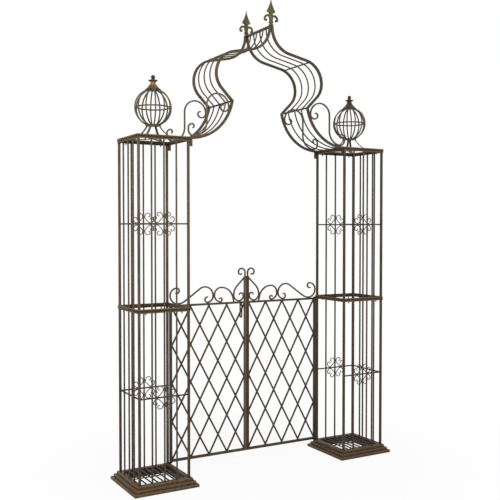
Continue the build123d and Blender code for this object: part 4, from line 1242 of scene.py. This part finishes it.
def finials():
    """Cast spears on the ridge: moulded stem, ridged blade and curled arms with bead ends."""
    moves = [bend(ARM_RADIUS, -ARM_HEADING - 90), bend(ARM_CURL_RADIUS, -ARM_CURL_TURN)]
    arm = trace(ARM_ROOT, ARM_HEADING, moves)
    tapers = [1.0 - ARM_THINNING * index / (len(arm) - 1) for index in range(len(arm))]
    work = bmesh.new()
    arms = Paths()
    for y in (-HALF_PITCH, HALF_PITCH):
        add_blade(work, y)
        turn_on(work, 0, y, RIDGE_Z, finial_stem())
        for line in (arm, flipped(arm)):
            placed = [point + Vector((0, RIDGE_Z)) for point in line]
            arms.add_upright(placed, y, tapers)
            tip = Matrix.Translation(Vector((placed[-1].x, y, placed[-1].y)) * MM)
            bead = {"subdivisions": ARM_BEAD_DETAIL, "radius": ARM_BEAD_RADIUS * MM}
            bmesh.ops.create_icosphere(work, matrix=tip, **bead)
    work.from_mesh(arms.bars("finial_arms", "spear_finials", ARM_WIDTH, ARM_DEPTH, ARM_CORNER))
    place_work("finial_castings", work, "spear_finials")


def bolts():
    """Bolts through the lying legs of the joined frames."""
    places = []
    for tower in (-TOWER_X, TOWER_X):
        for x in (-BOLT_ACROSS, BOLT_ACROSS):
            for y in (-BOLT_DEEP, BOLT_DEEP):
                places += [(tower + x, y, z) for z in JOINT_HEIGHTS]
    values = {"Bolt": BOLT_RADIUS * MM, "Seat": BOLT_SEAT * MM, "Tail": BOLT_TAIL * MM}
    values["Finish"] = FINISHES["hinge_iron"]
    mesh = grown("frame_bolts", bolt_tree(), point_mesh("bolt_places", places), values)
    place_fitting("frame_bolts", mesh, "frame", "hinge_iron")


def floor():
    """Pale floor that keeps the shadow near the arch and is white towards the camera further out."""
    mesh = bpy.data.meshes.new("floor")
    half = FLOOR_HALF
    corners = [(-half, -half, 0), (half, -half, 0), (half, half, 0), (-half, half, 0)]
    mesh.from_pydata(corners, [], [(0, 1, 2, 3)])
    shape = linked("floor", mesh)
    material = bpy.data.materials.new("pale_floor")
    material.use_nodes = True
    nodes = Nodes(material.node_tree)
    place = nodes.add("ShaderNodeTexCoord", output="Object")
    distance = nodes.add("ShaderNodeVectorMath", {"operation": "LENGTH"}, {0: place}, "Value")
    rays = ("Is Camera Ray", "Is Glossy Ray")
    seen, mirrored = [nodes.add("ShaderNodeLightPath", output=ray) for ray in rays]
    clear = nodes.rise(distance, *SHADE_REACH) * FLOOR_SHADE + (1.0 - FLOOR_SHADE)
    plain = nodes.add("ShaderNodeBsdfDiffuse", None, {"Color": FLOOR_COLOUR})
    white = nodes.add("ShaderNodeEmission", None, {"Color": WHITE, "Strength": 1.0})
    mixed = nodes.add("ShaderNodeMixShader", None, {0: (seen | mirrored) * clear, 1: plain, 2: white})
    nodes.add("ShaderNodeOutputMaterial", None, {"Surface": mixed})
    mesh.materials.append(material)


def surroundings():
    """White towards the camera and in reflections, and a plain soft light elsewhere."""
    world = bpy.data.worlds.new("studio")
    bpy.context.scene.world = world
    world.use_nodes = True
    nodes = Nodes(world.node_tree)
    rays = ("Is Camera Ray", "Is Glossy Ray", "Is Transmission Ray")
    seen, mirrored, through = [nodes.add("ShaderNodeLightPath", output=ray) for ray in rays]
    soft = nodes.add("ShaderNodeBackground", None, {"Color": WHITE, "Strength": SOFT_LIGHT})
    white = nodes.add("ShaderNodeBackground", None, {"Color": WHITE, "Strength": 1.0})
    mixed = nodes.add("ShaderNodeMixShader", None, {0: seen | mirrored | through, 1: soft, 2: white})
    nodes.add("ShaderNodeOutputWorld", None, {"Surface": mixed})


def lamp(name, place, size, power):
    data = bpy.data.lights.new(name, "AREA")
    data.size = size
    data.energy = power
    shape = linked(name, data)
    shape.location = place
    shape.rotation_euler = (Vector(LAMP_TARGET) - Vector(place)).to_track_quat("-Z", "Y").to_euler()


def camera():
    data = bpy.data.cameras.new("camera")
    data.lens = CAMERA_LENS
    data.sensor_width = SENSOR
    shape = linked("camera", data)
    shape.location = CAMERA_PLACE
    shape.rotation_euler = (radians(90 - CAMERA_PITCH), 0, radians(-CAMERA_YAW))
    bpy.context.scene.camera = shape


for node, shape in frame["nodes"].items():
    shape.data.materials.clear()
    shape.data.materials.append(FINISHES[SLOTS[node]])

for side, name in ((-1, "left"), (1, "right")):
    eased(name + "_plinth", PLINTH_ARRIS, steps=3, finish="plinth_steps")
    for part in ("lower_frame", "upper_sill", "upper_frame", "cap_frame", "lower_posts", "upper_posts"):
        eased(name + "_" + part, FRAME_ARRIS)
    for part in ("floor_grille", "lower_bars", "upper_bars", "crossbars", "orb_cross"):
        eased(name + "_" + part, BAR_ARRIS)
    for part in ("hinge_stile", "meeting_stile", "rails", "lattice", "hinge_pins"):
        eased(name + "_gate_" + part, GATE_ARRIS)
    gate_crest(name + "_gate", name == "left")
    ornaments(side, name)
    orb_cage(side, name)
    orb_disc(side, name)
    orb_cap(side, name)
for part in ("arch_brackets", "arch_ogee_rails", "arch_cross_bars", "arch_lugs", "hinge_eyes", "ridge_bar"):
    eased(part, ARCH_ARRIS)
eased("latch_bracket", LATCH_ARRIS)
latch_link()
arch_slats()
corner_scrolls()
finials()
bolts()

floor()
surroundings()
for name, settings in LAMPS.items():
    lamp(name, *settings)
camera()
bpy.context.scene.view_settings.view_transform = "Standard"
